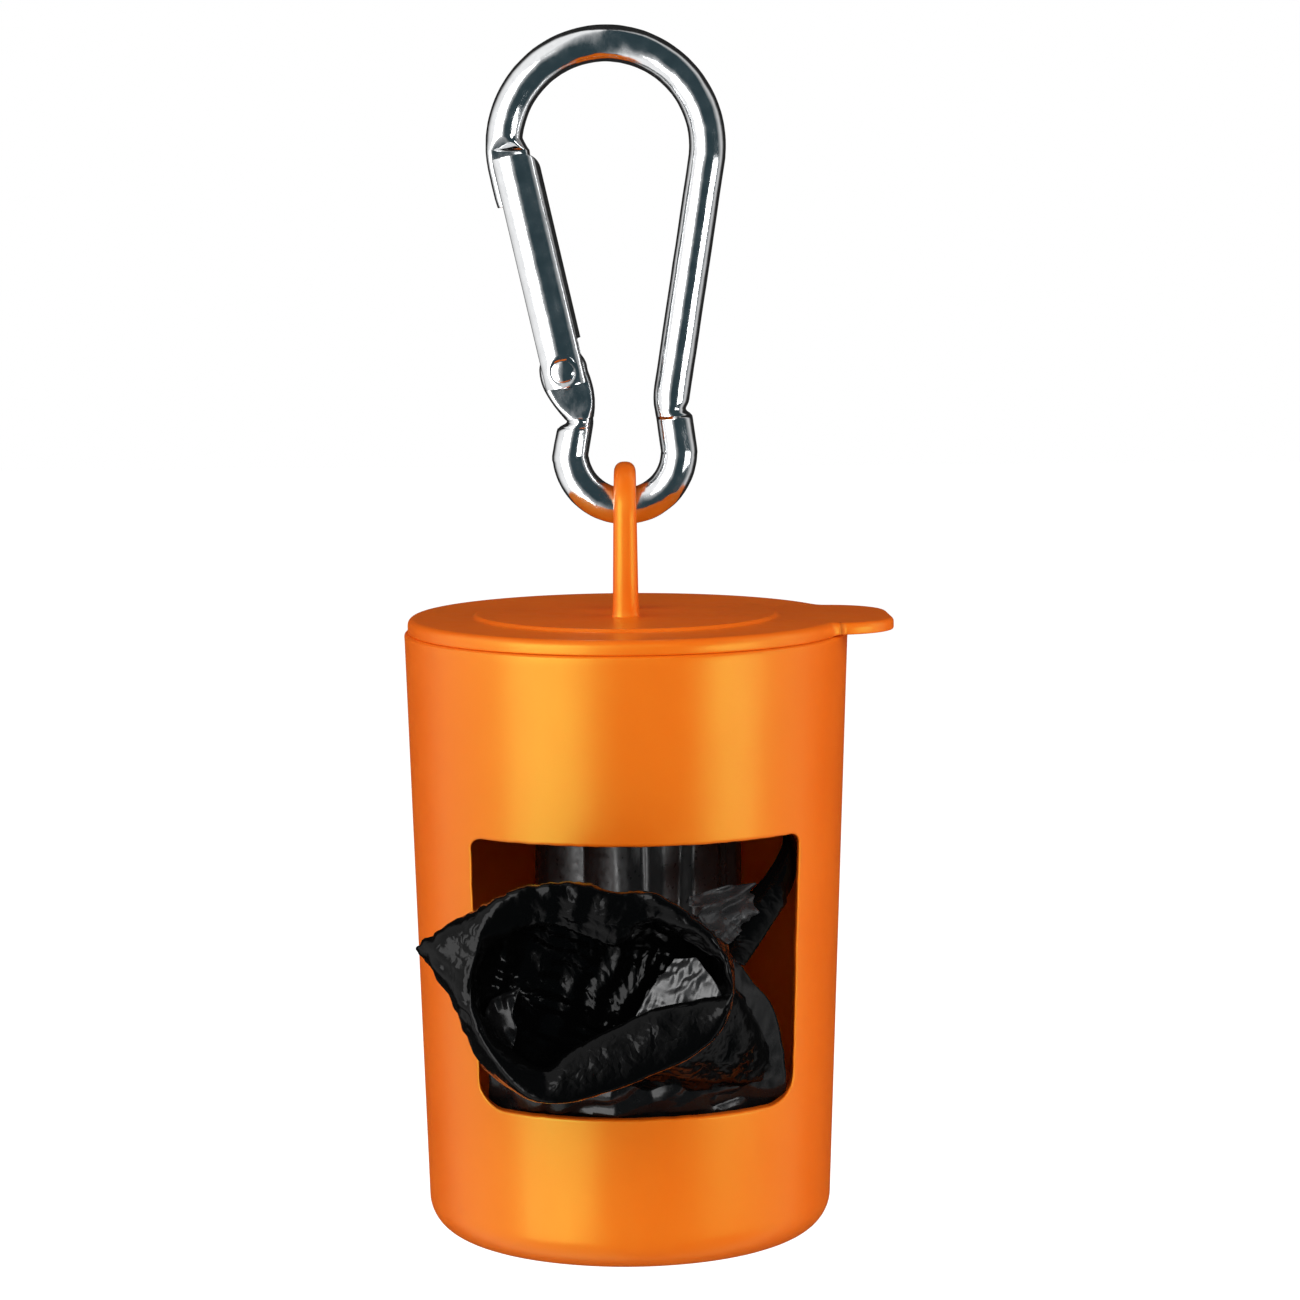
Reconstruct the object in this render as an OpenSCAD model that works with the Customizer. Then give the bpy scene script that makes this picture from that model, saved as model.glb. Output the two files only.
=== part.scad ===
// Dog poop bag dispenser: a moulded canister with a push-fit lid, hung by the lid's loop
// from a wire carabiner, with a roll of bags inside and the next bag pulled out of the window.
// Millimetres. +Z is up, the window faces -Y. The origin is the point inside the top arc of
// the carabiner where the dispenser hangs, so everything else lies below it.

/* [Canister] */
// Outer diameter of the canister at its rim
rim_d = 45; // [41:0.5:56]
// Outer diameter of the wall's straight taper, carried down to the base
base_d = 41; // [38:0.5:52]
// Thickness of the canister's wall
wall_t = 1.3; // [0.8:0.1:2]
// Thickness of the canister's floor
floor_t = 1.5; // [1:0.1:3]
// Radius of the rounded edge round the base
base_round = 3.6; // [2:0.1:5]
// Depth of the shallow recess under the base
foot_recess = 0.4; // [0.2:0.1:0.8]
// Width of the ring that the canister stands on
foot_w = 3; // [2:0.1:5]

/* [Window] */
// Width of the dispensing window at its top edge
window_w = 32.4; // [24:0.2:34]
// Height of the dispensing window
window_h = 27.2; // [20:0.2:32]
// Height of the window's lower edge above the base
window_sill = 15.7; // [12:0.1:20]
// How much narrower each side of the window is at the sill
window_draft = 0.6; // [0:0.1:2]
// Radius of the window's top corners
window_top_round = 1; // [0.5:0.1:4]
// Radius of the window's bottom corners
window_sill_round = 2.8; // [0.5:0.1:5]
// How far the canister is turned in its lid
window_turn = 3.3; // [-15:0.1:15]

/* [Lid] */
// How far the lid's edge lies inside the rim
lid_inset = 0.35; // [0:0.05:0.8]
// Thickness of the lid's plate
lid_t = 1.5; // [1.2:0.1:2.5]
// Radius of the lid's rounded upper edge
lid_round = 0.7; // [0.3:0.1:0.9]
// Diameter of the raised disc on the lid
disc_d = 30.5; // [16:0.5:36]
// Height of the raised disc above the plate
disc_h = 0.35; // [0.2:0.05:1]
// Depth of the plug ring that snaps into the canister
plug_h = 3.4; // [2.6:0.1:5]
// Thickness of the plug ring
plug_t = 1.1; // [0.8:0.1:2]
// How far the snap bead stands out from the plug ring
bead_h = 0.25; // [0.1:0.05:0.4]
// Clearance round the snap bead in the canister's mouth
bead_clear = 0.06; // [0.03:0.01:0.1]
// Width of the thumb tab
tab_w = 17.4; // [10:0.2:22]
// Reach of the thumb tab from the lid's axis
tab_reach = 27; // [26:0.1:32]
// Thickness of the thumb tab
tab_t = 1.2; // [0.8:0.1:1.4]
// Radius of the thumb tab's corners
tab_round = 6; // [3:0.1:6.5]
// Radius of the fillets between the thumb tab and the plate
tab_fillet = 1; // [0.4:0.1:3]
// Turn of the thumb tab away from the carabiner's plane
tab_turn = 3.5; // [-20:0.5:20]
// Thickness of the lid's hanging loop
loop_d = 2.5; // [2:0.1:3]
// Height of the loop above the raised disc
loop_h = 15.3; // [12:0.1:24]
// Width of the space inside the loop
loop_gap = 5; // [4.6:0.1:7]
// Play between the loop and the wire that it hangs on
loop_play = 0.15; // [0.1:0.05:0.3]

/* [Carabiner] */
// Diameter of the carabiner's wire
wire_d = 3.7; // [3.2:0.1:4.2]
// Radius of the top arc, to the middle of the wire
top_r = 10.2; // [9:0.1:13]
// Radius of the small bow at the bottom, to the middle of the wire
bow_r = 5.5; // [5.2:0.1:6.5]
// Distance between the centres of the top arc and the bow
clip_span = 30.75; // [28:0.25:40]
// Height of the crease on the spine's side above the bow's centre
neck_h = 3.95; // [3.6:0.05:4.4]
// Depth of the crease on the spine's side
neck_dent = 0.55; // [0.2:0.05:0.8]
// Height of the crease on the gate's side above the bow's centre
tang_neck_h = 3.4; // [3:0.05:4]
// Depth of the crease on the gate's side
tang_dent = 1.0; // [0.3:0.05:1.2]
// Lean of the hanging carabiner
clip_lean = 3.1; // [0:0.1:6]

/* [Gate] */
// Height of the gate's pivot above the bow's centre
pivot_up = 8.5; // [8:0.1:10]
// Distance of the gate's pivot from the carabiner's centre line
pivot_out = 5.65; // [5.3:0.05:6.2]
// Outer diameter of the rolled gate
gate_d = 4.9; // [4.5:0.1:5.4]
// Thickness of the gate's sheet
gate_wall = 0.55; // [0.4:0.05:0.7]
// Width of the open slit along the gate's outer side
gate_slit = 2.5; // [2.3:0.1:3]
// Length of the gate below its pivot
gate_tail = 1.5; // [1.2:0.1:1.8]
// How far the gate's axis lies inside the wire's at the nose
gate_inset = 0.9; // [0.6:0.05:1.2]
// How far the gate reaches past the level of the top arc's centre
gate_past = 1.2; // [0.6:0.1:2]
// Radius of the gate's rounded upper corner
gate_round = 1.9; // [1:0.1:2.2]
// Thickness of the pressed nose and tang
flat_t = 2.1; // [1.6:0.1:2.1]
// Radius of the tang's round end about the pivot
tang_r = 2.45; // [2.2:0.05:2.6]
// Length of the nose's tongue inside the gate
tongue_l = 3.6; // [2.5:0.1:6]
// Play between the tongue and the closed gate
gate_play = 0.25; // [0.15:0.05:0.4]
// Diameter of the rivet's shank
rivet_d = 1.7; // [1.3:0.1:2]
// Diameter of the rivet's upset heads
head_d = 2.5; // [2.2:0.1:3]
// Clearance round the rivet in the tang
rivet_clear = 0.05; // [0.03:0.01:0.1]
// Diameter of the spring wire in the gate
spring_d = 0.6; // [0.4:0.05:0.7]
// Height of the spring's upper end above the pivot
spring_h = 14; // [8:0.5:16]

/* [Bags] */
// Diameter of the wound roll of bags
roll_d = 21.8; // [17:0.2:26]
// Length of the roll of bags
roll_l = 55.5; // [48:0.5:70]
// Free height between the roll and the closed lid
roll_room = 4.3; // [1:0.1:12]
// Thickness of the outermost, loose layer of film
layer_t = 0.35; // [0.2:0.05:0.6]
// Outer diameter of the cardboard core
core_d = 13; // [10:0.5:15]
// Thickness of the core's card
core_t = 0.8; // [0.5:0.1:1.2]
// Place of the roll's axis from the canister's, across
roll_x = 1; // [-3:0.5:3]
// Place of the roll's axis from the canister's, towards the back
roll_y = 1.5; // [-1:0.5:3]
// Gap that the loose bags keep from what is round them
soft_gap = 0.3; // [0.2:0.05:0.5]
// Width of the pulled bag's crumpled mouth
bunch_w = 29.7; // [20:0.1:34]
// Height of the pulled bag's crumpled mouth
bunch_h = 20.4; // [14:0.1:22]
// How far the pulled bag stands out of the window
bunch_out = 12.5; // [8:0.5:18]
// Height of the bunch's middle above the window's sill
bunch_up = 14.9; // [12:0.1:16]
// Place of the bunch's middle from the canister's axis, across
bunch_x = -4.6; // [-7:0.1:0]
// Width of the strand of film that runs back to the roll
strand_w = 3.4; // [2.4:0.1:4]

/* [Hidden] */

$fn = 96;
wire_sides = 24;
wire_r = wire_d / 2;
gate_r = gate_d / 2;
flat_r = flat_t / 2;
rim_r = rim_d / 2;
base_r = base_d / 2;
lid_r = rim_r - lid_inset;

// How far a cutting solid runs past what it cuts.
cut = 0.5;

// The canister is as high as the roll that it holds needs.
cup_h = floor_t + soft_gap + roll_l + roll_room;

// Heights below the hanging point. The bow's lowest point hangs straight below it.
top_x = -clip_span * sin(clip_lean);
arc_inside = top_r - wire_r;
bow_z = -clip_span * cos(clip_lean) - sqrt(arc_inside * arc_inside - top_x * top_x);
wire_z = bow_z - bow_r;
loop_top_z = wire_z + wire_r + loop_play + loop_d;
lid_z = loop_top_z - loop_h - disc_h;
rim_z = lid_z - lid_t;
base_z = rim_z - cup_h;
floor_z = base_z + floor_t;
sill_z = base_z + window_sill;

// The gate's axis runs from the pivot and passes the top arc's centre at gate_line_r.
gate_line_r = top_r - gate_inset;
pivot_rise = clip_span - pivot_up;
pivot_far = norm([pivot_out, pivot_rise]);
gate_tilt = asin(gate_line_r / pivot_far) - atan2(pivot_out, pivot_rise);
nose_t = sqrt(pivot_far * pivot_far - gate_line_r * gate_line_r);
gate_top = nose_t + gate_past;
gate_in = gate_r - gate_wall;

// Angles round the top arc's centre, from the gate's side over the top to the spine.
end_play = 0.2;
nose_flat_a = asin((gate_top + end_play - nose_t) / arc_inside);
nose_ramp_a = 9;
nose_a = 180 + gate_tilt;

// The spine leaves the top arc along its tangent and ends at its foot, above the crease.
foot_rise = 1.6;
foot_inset = 0.4;
spine_foot = [bow_r - foot_inset, neck_h + foot_rise];
foot_far = norm([spine_foot[0], clip_span - spine_foot[1]]);
spine_tilt = asin(top_r / foot_far) - atan2(spine_foot[0], clip_span - spine_foot[1]);

function mix(a, b, s) = a + (b - a) * s;
function smooth(s) = s * s * (3 - 2 * s);
function at_clip(angle, r) = [r * cos(angle), clip_span + r * sin(angle)];
function gate_point(lateral, along) =
    [-pivot_out + lateral * cos(gate_tilt) - along * sin(gate_tilt),
     pivot_up + lateral * sin(gate_tilt) + along * cos(gate_tilt)];

// A station of the bent wire is [centre, angle of its inner side, half width, half thickness].
function ring(s) =
    [for (i = [0 : wire_sides - 1])
        let (a = 360 * i / wire_sides, w = s[2] * cos(a))
        [s[0][0] + w * cos(s[1]), max(-s[3], min(s[3], wire_r * sin(a))), s[0][1] + w * sin(s[1])]];

// The tongue: a rounded tip, then the pressed wire inside the gate.
tongue_in = gate_in - gate_play;
tongue_out = -gate_inset - wire_r;
tongue_w = (tongue_in - tongue_out) / 2;
tongue_mid = (tongue_in + tongue_out) / 2;
tip_r = 1.6;
tongue_tip = [for (a = [8 : 22 : 74])
    [gate_point(tongue_mid, nose_t - tongue_l + tip_r * (1 - sin(a))), gate_tilt,
     mix(tongue_w - tip_r, tongue_w, cos(90 - a)), flat_r]];
tongue_side = [for (s = [0.15, 0.7])
    [gate_point(tongue_mid, nose_t - (tongue_l - tip_r) * (1 - s)), gate_tilt, tongue_w, flat_r]];

// Round the top arc. share runs from 0 where the wire is flat to 1 where it is whole.
function nose_share(a) = max(0, min(1, (a - nose_flat_a) / nose_ramp_a));
function arc_station(a) =
    let (share = nose_share(a), shift = tongue_mid + gate_inset)
    [at_clip(nose_a - a, top_r - shift * (1 - share)), nose_a - a + 180,
     mix(tongue_w, wire_r, share), mix(flat_r, wire_r, share)];
arc_full = nose_a + spine_tilt;
arc_steps = 24;
arc_start = nose_flat_a + nose_ramp_a;
top_arc = concat(
    [for (a = [2, nose_flat_a, nose_flat_a + nose_ramp_a / 3, nose_flat_a + nose_ramp_a * 2 / 3])
        arc_station(a)],
    [for (i = [0 : arc_steps]) arc_station(mix(arc_start, arc_full, i / arc_steps))]);

// Down the spine in a straight line.
spine_start = at_clip(-spine_tilt, top_r);
spine = [for (s = [0.33, 0.66, 1])
    [[mix(spine_start[0], spine_foot[0], s), mix(spine_start[1], spine_foot[1], s)],
     180 - spine_tilt, wire_r, wire_r]];

// The crease: [height above it, share of its depth] on the wire's outer side.
crease = [[0.75, 0.25], [0.25, 0.8], [0, 1], [-0.2, 0.85], [-0.45, 0.35], [-0.95, 0.06]];
bow_inside = bow_r - wire_r;
foot_inside = spine_foot[0] - wire_r / cos(spine_tilt);
function edges(centre, side, inside, outside, z, thick) =
    [[side * (inside + outside) / 2, z], centre, (outside - inside) / 2, thick];
spine_neck = [for (c = crease)
    let (inside = mix(foot_inside, bow_inside, smooth((foot_rise - c[0]) / (foot_rise + neck_h))))
    edges(180, 1, inside, inside + wire_d - neck_dent * c[1], neck_h + c[0], wire_r)];

// The bow: half a turn from the spine's side to the gate's.
bow_steps = 18;
bow = [for (i = [0 : bow_steps])
    let (a = -180 * i / bow_steps)
    [[bow_r * cos(a), bow_r * sin(a)], a + 180, wire_r, wire_r]];

// The crease on the gate's side, read from the bow upwards.
neck_set = 0.7;
neck_inside = bow_inside - neck_set;
tang_neck = [for (i = [len(crease) - 1 : -1 : 2])
    let (c = crease[i], inside = mix(bow_inside, neck_inside, smooth(1 + c[0] / tang_neck_h)))
    edges(0, -1, inside, inside + wire_d - tang_dent * c[1], tang_neck_h + c[0], wire_r)];

// The tang widens from the crease and ends round about the pivot, pressed flat below it too.
tang_bulge = 0.4;
neck_outside = neck_inside + wire_d - tang_dent;
swing_r = norm([gate_r, gate_tail]) + rivet_clear;
flat_from = (pivot_up - swing_r - tang_neck_h) / (pivot_up - tang_neck_h);
tang_shares = concat([for (s = [0.28, 0.56, 0.84, 1]) s * flat_from],
                     [for (s = [0.48, 0.74, 1]) mix(flat_from, 1, s)]);
tang_side = [for (s = tang_shares)
    let (inside = mix(neck_inside, pivot_out - tang_r, s) - tang_bulge * sin(180 * s),
         outside = mix(neck_outside, pivot_out + tang_r, sin(90 * s)))
    edges(0, -1, inside, outside, mix(tang_neck_h, pivot_up, s),
          s < flat_from ? mix(wire_r, flat_r, sin(90 * s / flat_from)) : flat_r)];
tang_end = [for (a = [22, 42, 60, 75, 86])
    [[-pivot_out, pivot_up + tang_r * sin(a)], 0, tang_r * cos(a), flat_r]];

wire_path = concat(tongue_tip, tongue_side, top_arc, spine, spine_neck, bow, tang_neck, tang_side, tang_end);

// Side faces between rings of the same number of points, and the two ends.
function skin(rings, sides) = concat(
    [[for (i = [0 : sides - 1]) i]],
    [for (r = [0 : rings - 2]) for (i = [0 : sides - 1])
        for (half = [0, 1])
            let (p = r * sides + i, q = r * sides + (i + 1) % sides)
            half == 0 ? [p, p + sides, q + sides] : [p, q + sides, q]],
    [[for (i = [sides - 1 : -1 : 0]) (rings - 1) * sides + i]]);

module sweep(rings) {
    polyhedron(points = [for (r = rings) each r], faces = skin(len(rings), len(rings[0])));
}

module on_clip() {
    translate([0, 0, bow_z]) rotate([0, -clip_lean, 0]) children();
}

module on_gate() {
    on_clip() translate([-pivot_out, 0, pivot_up]) rotate([0, -gate_tilt, 0]) children();
}

module across(d, length) {
    rotate([90, 0, 0]) cylinder(d = d, h = length, center = true);
}

// One wire, bent round the top arc and the bow, with its ends pressed into a nose and a tang.
// A saw cut in the tang's end takes the spring.
saw_play = 0.2;
saw_web = 0.45;
slot_w = spring_d + saw_play;
slot_from = rivet_d / 2 + saw_web;
module carabiner_body() {
    color("silver") difference() {
        on_clip() sweep([for (s = wire_path) ring(s)]);
        on_gate() {
            across(rivet_d + 2 * rivet_clear, wire_d);
            translate([-tang_r - cut, -slot_w / 2, slot_from]) cube([2 * (tang_r + cut), slot_w, tang_r]);
        }
    }
}

// Sheet rolled round an open slit. Its lower end is cut away on both sides for the tang.
tang_play = 0.5;
relief_w = flat_t + tang_play;
relief_top = tang_r + tang_play;
gate_recess = 0.35;
dimple_play = 0.2;
module gate_corner() {
    translate([gate_r - gate_round, 0, gate_top - gate_round]) difference() {
        translate([0, -gate_r, 0]) cube([gate_round + cut, gate_d, gate_round + cut]);
        across(2 * gate_round, gate_d + cut);
    }
}
module carabiner_gate() {
    color("silver") on_gate() difference() {
        translate([0, 0, -gate_tail]) cylinder(r = gate_r, h = gate_top + gate_tail);
        translate([0, 0, -gate_tail - cut]) cylinder(r = gate_in, h = gate_top + gate_tail + 2 * cut);
        translate([-gate_r - cut, -gate_slit / 2, -gate_tail - cut])
            cube([gate_r + cut, gate_slit, gate_top + gate_tail + 2 * cut]);
        translate([-gate_r - cut, -relief_w / 2, -gate_tail - cut])
            cube([gate_d + 2 * cut, relief_w, relief_top + gate_tail + cut]);
        gate_corner();
        across(rivet_d, gate_d + cut);
        for (side = [-1, 1])
            translate([0, side * (gate_r - gate_recess / 2 + cut / 2), 0])
                across(head_d + dimple_play, gate_recess + cut);
    }
}

// A shank through gate and tang, upset into a shallow head at each end.
head_sunk = 0.1;
head_round = 0.35;
module gate_rivet() {
    head_y = gate_r - gate_recess;
    color("gainsboro") on_gate() {
        across(rivet_d, 2 * head_y);
        for (side = [-1, 1])
            rotate([-90 * side, 0, 0]) translate([0, 0, head_y])
                cylinder(d1 = head_d, d2 = head_d - 2 * head_round, h = gate_recess - head_sunk);
    }
}

// A bowed wire that stands in the tang's saw cut and lies against the gate's inner side.
spring_sides = 8;
spring_play = 0.1;
spring_start = -0.5;
spring_foot = slot_from + saw_play;
spring_lean = gate_in - spring_d / 2 - spring_play;
function spring_ring(s) =
    let (x = mix(spring_start, spring_lean, sin(90 * s)), z = mix(spring_foot, spring_h, s))
    [for (i = [0 : spring_sides - 1])
        [x + spring_d / 2 * cos(360 * i / spring_sides), spring_d / 2 * sin(360 * i / spring_sides), z]];
module gate_spring() {
    color("dimgray") on_gate() sweep([for (i = [12 : -1 : 0]) spring_ring(i / 12)]);
}

// Points of a quarter or more of a circle, for the rounded corners of an outline.
function arc(centre, r, from, to, steps = 6) =
    [for (i = [0 : steps]) centre + r * [cos(mix(from, to, i / steps)), sin(mix(from, to, i / steps))]];

// The canister: a tapered cup with a rounded base, a cylindrical seat in its mouth and a window.
function wall_r(height) = mix(base_r, rim_r, height / cup_h);
inner_round = max(base_round - wall_t, 0.5);
seat_r = rim_r - wall_t;
seat_past = 0.4;
seat_slope = 0.15;
seat_depth = plug_h + seat_past;
function window_half(height) = window_w / 2 - window_draft * (1 - height / window_h);
module window_outline() {
    polygon(concat(
        arc([window_half(0) - window_sill_round, window_sill_round], window_sill_round, -90, 0),
        arc([window_w / 2 - window_top_round, window_h - window_top_round], window_top_round, 0, 90),
        arc([window_top_round - window_w / 2, window_h - window_top_round], window_top_round, 90, 180),
        arc([window_sill_round - window_half(0), window_sill_round], window_sill_round, 180, 270)));
}
module canister() {
    foot_r = wall_r(0) - base_round;
    taper_r = wall_r(base_round);
    color("darkorange") translate([0, 0, base_z]) difference() {
        rotate_extrude() polygon(concat(
            [[0, foot_recess], [foot_r - foot_w, foot_recess], [foot_r - foot_w + foot_recess, 0]],
            arc([taper_r - base_round, base_round], base_round, -90, 0, 8),
            [[rim_r, cup_h], [0, cup_h]]));
        rotate_extrude() polygon(concat(
            [[0, floor_t]],
            arc([taper_r - wall_t - inner_round, floor_t + inner_round], inner_round, -90, 0, 6),
            [[wall_r(cup_h - seat_depth) - wall_t, cup_h - seat_depth], [seat_r, cup_h - seat_depth + seat_slope],
             [seat_r, cup_h + cut], [0, cup_h + cut]]));
        rotate([0, 0, window_turn]) translate([0, 0, window_sill]) rotate([90, 0, 0])
            linear_extrude(height = rim_r + cut) window_outline();
    }
}

// The lid: a plate with a raised disc, a plug ring with a snap bead, a thumb tab and a loop.
loop_leg = (loop_gap + loop_d) / 2;
plug_chamfer = 0.4;
bead_up = 1;
bead_flat = 0.25;
bead_slope = 0.6;
tab_root = 1.5;
tab_drop = 0.1;
module plate() {
    rotate_extrude() polygon(concat(
        [[0, -lid_t], [lid_r, -lid_t]],
        arc([lid_r - lid_round, -lid_round], lid_round, 0, 90),
        [[disc_d / 2 + disc_h, 0], [disc_d / 2, disc_h], [0, disc_h]]));
}
module plug() {
    ring_r = seat_r - bead_clear - bead_h;
    low_z = -lid_t - plug_h;
    bead_z = low_z + bead_up;
    rotate_extrude() polygon([
        [ring_r - plug_t, -lid_t], [ring_r - plug_t, low_z], [ring_r - plug_chamfer, low_z],
        [ring_r, low_z + plug_chamfer], [ring_r + bead_h, bead_z - bead_flat],
        [ring_r + bead_h, bead_z + bead_flat], [ring_r, bead_z + bead_slope], [ring_r, -lid_t]]);
}
module thumb_tab() {
    corner = tab_reach - tab_round;
    half = tab_w / 2 - tab_round;
    root = sqrt(lid_r * lid_r - tab_w * tab_w / 4) - tab_root;
    fillet_y = tab_w / 2 + tab_fillet;
    fillet_x = sqrt(pow(lid_r + tab_fillet, 2) - fillet_y * fillet_y);
    turn = atan2(fillet_y, fillet_x);
    rotate([0, 0, tab_turn]) translate([0, 0, -tab_t - tab_drop]) linear_extrude(height = tab_t)
        polygon(concat(
            [[root, -tab_w / 2]], arc([fillet_x, -fillet_y], tab_fillet, 180 - turn, 90),
            arc([corner, -half], tab_round, -90, 0, 8), arc([corner, half], tab_round, 0, 90, 8),
            arc([fillet_x, fillet_y], tab_fillet, -90, turn - 180), [[root, tab_w / 2]]));
}
module loop() {
    arch_z = loop_h + disc_h - loop_d / 2 - loop_leg;
    for (side = [-1, 1])
        translate([0, side * loop_leg, -lid_t / 2]) cylinder(d = loop_d, h = arch_z + lid_t / 2, $fn = 48);
    translate([0, 0, arch_z]) rotate([90, 0, 90])
        rotate_extrude(angle = 180) translate([loop_leg, 0]) circle(d = loop_d, $fn = 48);
}
module lid() {
    color("darkorange") translate([0, 0, lid_z]) {
        plate();
        plug();
        thumb_tab();
        loop();
    }
}

// The roll stands on the canister's floor: film wound on a card tube, its last edge loose.
roll_z = floor_z + soft_gap;
module roll_core() {
    color("peru") translate([roll_x, roll_y, roll_z]) difference() {
        cylinder(d = core_d, h = roll_l);
        translate([0, 0, -cut]) cylinder(d = core_d - 2 * core_t, h = roll_l + 2 * cut);
    }
}
module bag_roll() {
    color("dimgray") translate([roll_x, roll_y, roll_z]) difference() {
        linear_extrude(height = roll_l)
            polygon([for (a = [0 : 6 : 354]) (roll_d / 2 - layer_t * a / 360) * [cos(a), sin(a)]]);
        translate([0, 0, -cut]) cylinder(d = core_d, h = roll_l + 2 * cut);
    }
}

// The pulled bag: film in front of the roll that fills the window's foot, spreads over the sill
// and opens into a crumpled mouth outside it. Its outlines are lists of [across, up] at 20 places
// from the right over the top, in shares of 100. Those of the mouth are shares of the bunch's half
// width and half height; those in the window are shares of its half width and of its height.
rim_line = [[98, 0], [96, 26], [91, 45], [72, 70], [47, 92], [26, 90], [4, 98], [-16, 99], [-35, 94],
    [-53, 81], [-66, 49], [-71, 10], [-66, -24], [-53, -59], [-31, -92], [-7, -95], [26, -81],
    [47, -69], [72, -52], [89, -31]];
ear_line = [[100, 0], [98, 26], [92, 47], [73, 73], [47, 94], [26, 93], [4, 99], [-16, 100], [-39, 92],
    [-67, 73], [-100, 45], [-100, 32], [-84, -8], [-65, -61], [-40, -94], [-8, -100], [26, -86],
    [48, -73], [74, -56], [92, -33]];
// The upper lip's second layer, and the edge of the lower lip where it folds back in.
fold_line = [[96, 4], [93, 20], [86, 35], [69, 53], [47, 69], [28, 50], [11, 56], [-7, 67], [-28, 67],
    [-47, 57], [-61, 37], [-65, 8], [-60, -20], [-46, -49], [-23, -69], [-9, -55], [9, -40],
    [26, -29], [47, -14], [74, -6]];
body_line = [[98, 2], [96, 20], [88, 33], [70, 49], [46, 63], [24, 65], [1, 63], [-23, 57],
    [-43, 45], [-62, 27], [-73, 6], [-71, -16], [-65, -41], [-54, -69], [-36, -88], [-8, -96],
    [24, -88], [48, -75], [71, -53], [90, -25]];
sill_line = [[63, 52], [60, 58], [51, 62], [35, 61], [14, 58], [-6, 55], [-28, 50], [-49, 45],
    [-65, 41], [-77, 36], [-81, 31], [-83, 25], [-81, 19], [-75, 14], [-60, 11], [-31, 11], [9, 13],
    [44, 17], [69, 25], [73, 39]];
root_line = [[70, 43], [60, 50], [51, 53], [36, 50], [15, 43], [-6, 36], [-28, 29], [-46, 24],
    [-60, 20], [-70, 17], [-77, 14], [-78, 11], [-75, 8], [-68, 6], [-46, 4], [-12, 4], [28, 4],
    [71, 5], [90, 12], [83, 29]];
bunch_z = sill_z + bunch_up;
roll_gap = 2 * soft_gap;
film_y = roll_y - roll_d / 2 - roll_gap;
// The mouth's lips stand out further than its corners.
lip_out = 1.2;
function at_mouth(p, size, out) =
    let (up = size * p[1] / 100)
    [bunch_x + size * p[0] / 100 * bunch_w / 2, -rim_r - out * bunch_out - lip_out * abs(up),
     bunch_z + up * bunch_h / 2];
function mouth_ring(line, size, out) = [for (p = line) at_mouth(p, size, out)];
// In the window the film's sides stay further back, as the canister's wall does.
side_share = 50;
function in_window(p, size, y, back) =
    [size * p[0] / 100 * window_w / 2,
     y + back * smooth(max(0, abs(p[0]) - side_share) / (100 - side_share)), sill_z + p[1] / 100 * window_h];
function window_ring(line, size, y, back) = [for (p = line) in_window(p, size, y, back)];
// How far back the window's rings bend at their sides.
root_back = 1.6;
sill_back = 3;
// The rings' last numbers are how far out they lie, in shares of the way to the rim and to the mouth.
bag_rings = [
    window_ring(root_line, 0.88, film_y, 0),
    window_ring(root_line, 1, mix(film_y, -rim_r, 0.45), root_back),
    window_ring(sill_line, 1, mix(film_y, -rim_r, 0.92), sill_back),
    mouth_ring(body_line, 1, 0.25),
    mouth_ring(ear_line, 1, 0.55),
    mouth_ring(rim_line, 1, 0.9),
    mouth_ring(fold_line, 1, 0.8),
    mouth_ring(rim_line, 0.84, 0.6),
    mouth_ring(rim_line, 0.7, 0.38),
    mouth_ring(rim_line, 0.5, 0.25),
    mouth_ring(rim_line, 0.3, 0.2),
    mouth_ring(rim_line, 0.12, 0.18)];

// A smooth curve through b and c, with a and d before and after them.
function between(a, b, c, d, s) =
    b + s / 2 * (c - a + s * (2 * a - 5 * b + 4 * c - d + s * (3 * b - a - 3 * c + d)));
function finer_round(line) =
    let (n = len(line))
    [for (i = [0 : n - 1]) for (s = [0, 0.5])
        between(line[(i + n - 1) % n], line[i], line[(i + 1) % n], line[(i + 2) % n], s)];
function finer_along(rings) =
    let (n = len(rings))
    concat([for (i = [0 : n - 2]) for (s = [0, 0.5])
        [for (k = [0 : len(rings[0]) - 1])
            between(rings[max(i - 1, 0)][k], rings[i][k], rings[i + 1][k], rings[min(i + 2, n - 1)][k], s)]],
        [rings[n - 1]]);

// The strand leaves the roll's right side, comes forward inside the window's edge and ends in the
// bunch. Each ring is [y, x, z, width, height].
strand_sides = 16;
strand_t = 0.8;
strand_x = roll_x + roll_d / 2 + soft_gap + strand_t / 2;
neck_x = bunch_x + 0.48 * bunch_w;
strand_top = sill_z + 0.88 * window_h;
edge_x = window_w / 2 - 0.56 * strand_w;
strand_rings = [
    [roll_y, strand_x, strand_top, strand_t, 1.2 * strand_w],
    [film_y / 2, strand_x + strand_t / 4, strand_top, strand_t, 1.2 * strand_w],
    [film_y, edge_x, strand_top, 0.6 * strand_w, 1.1 * strand_w],
    [mix(film_y, -rim_r, 0.33), edge_x - 0.2 * strand_w, mix(bunch_z, strand_top, 0.68), strand_w, strand_w],
    [mix(film_y, -rim_r, 0.66), neck_x + 0.35 * strand_w, mix(bunch_z, strand_top, 0.3), strand_w, strand_w],
    [-rim_r, neck_x - 0.3 * strand_w, bunch_z, 0.7 * strand_w, 0.7 * strand_w]];
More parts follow.
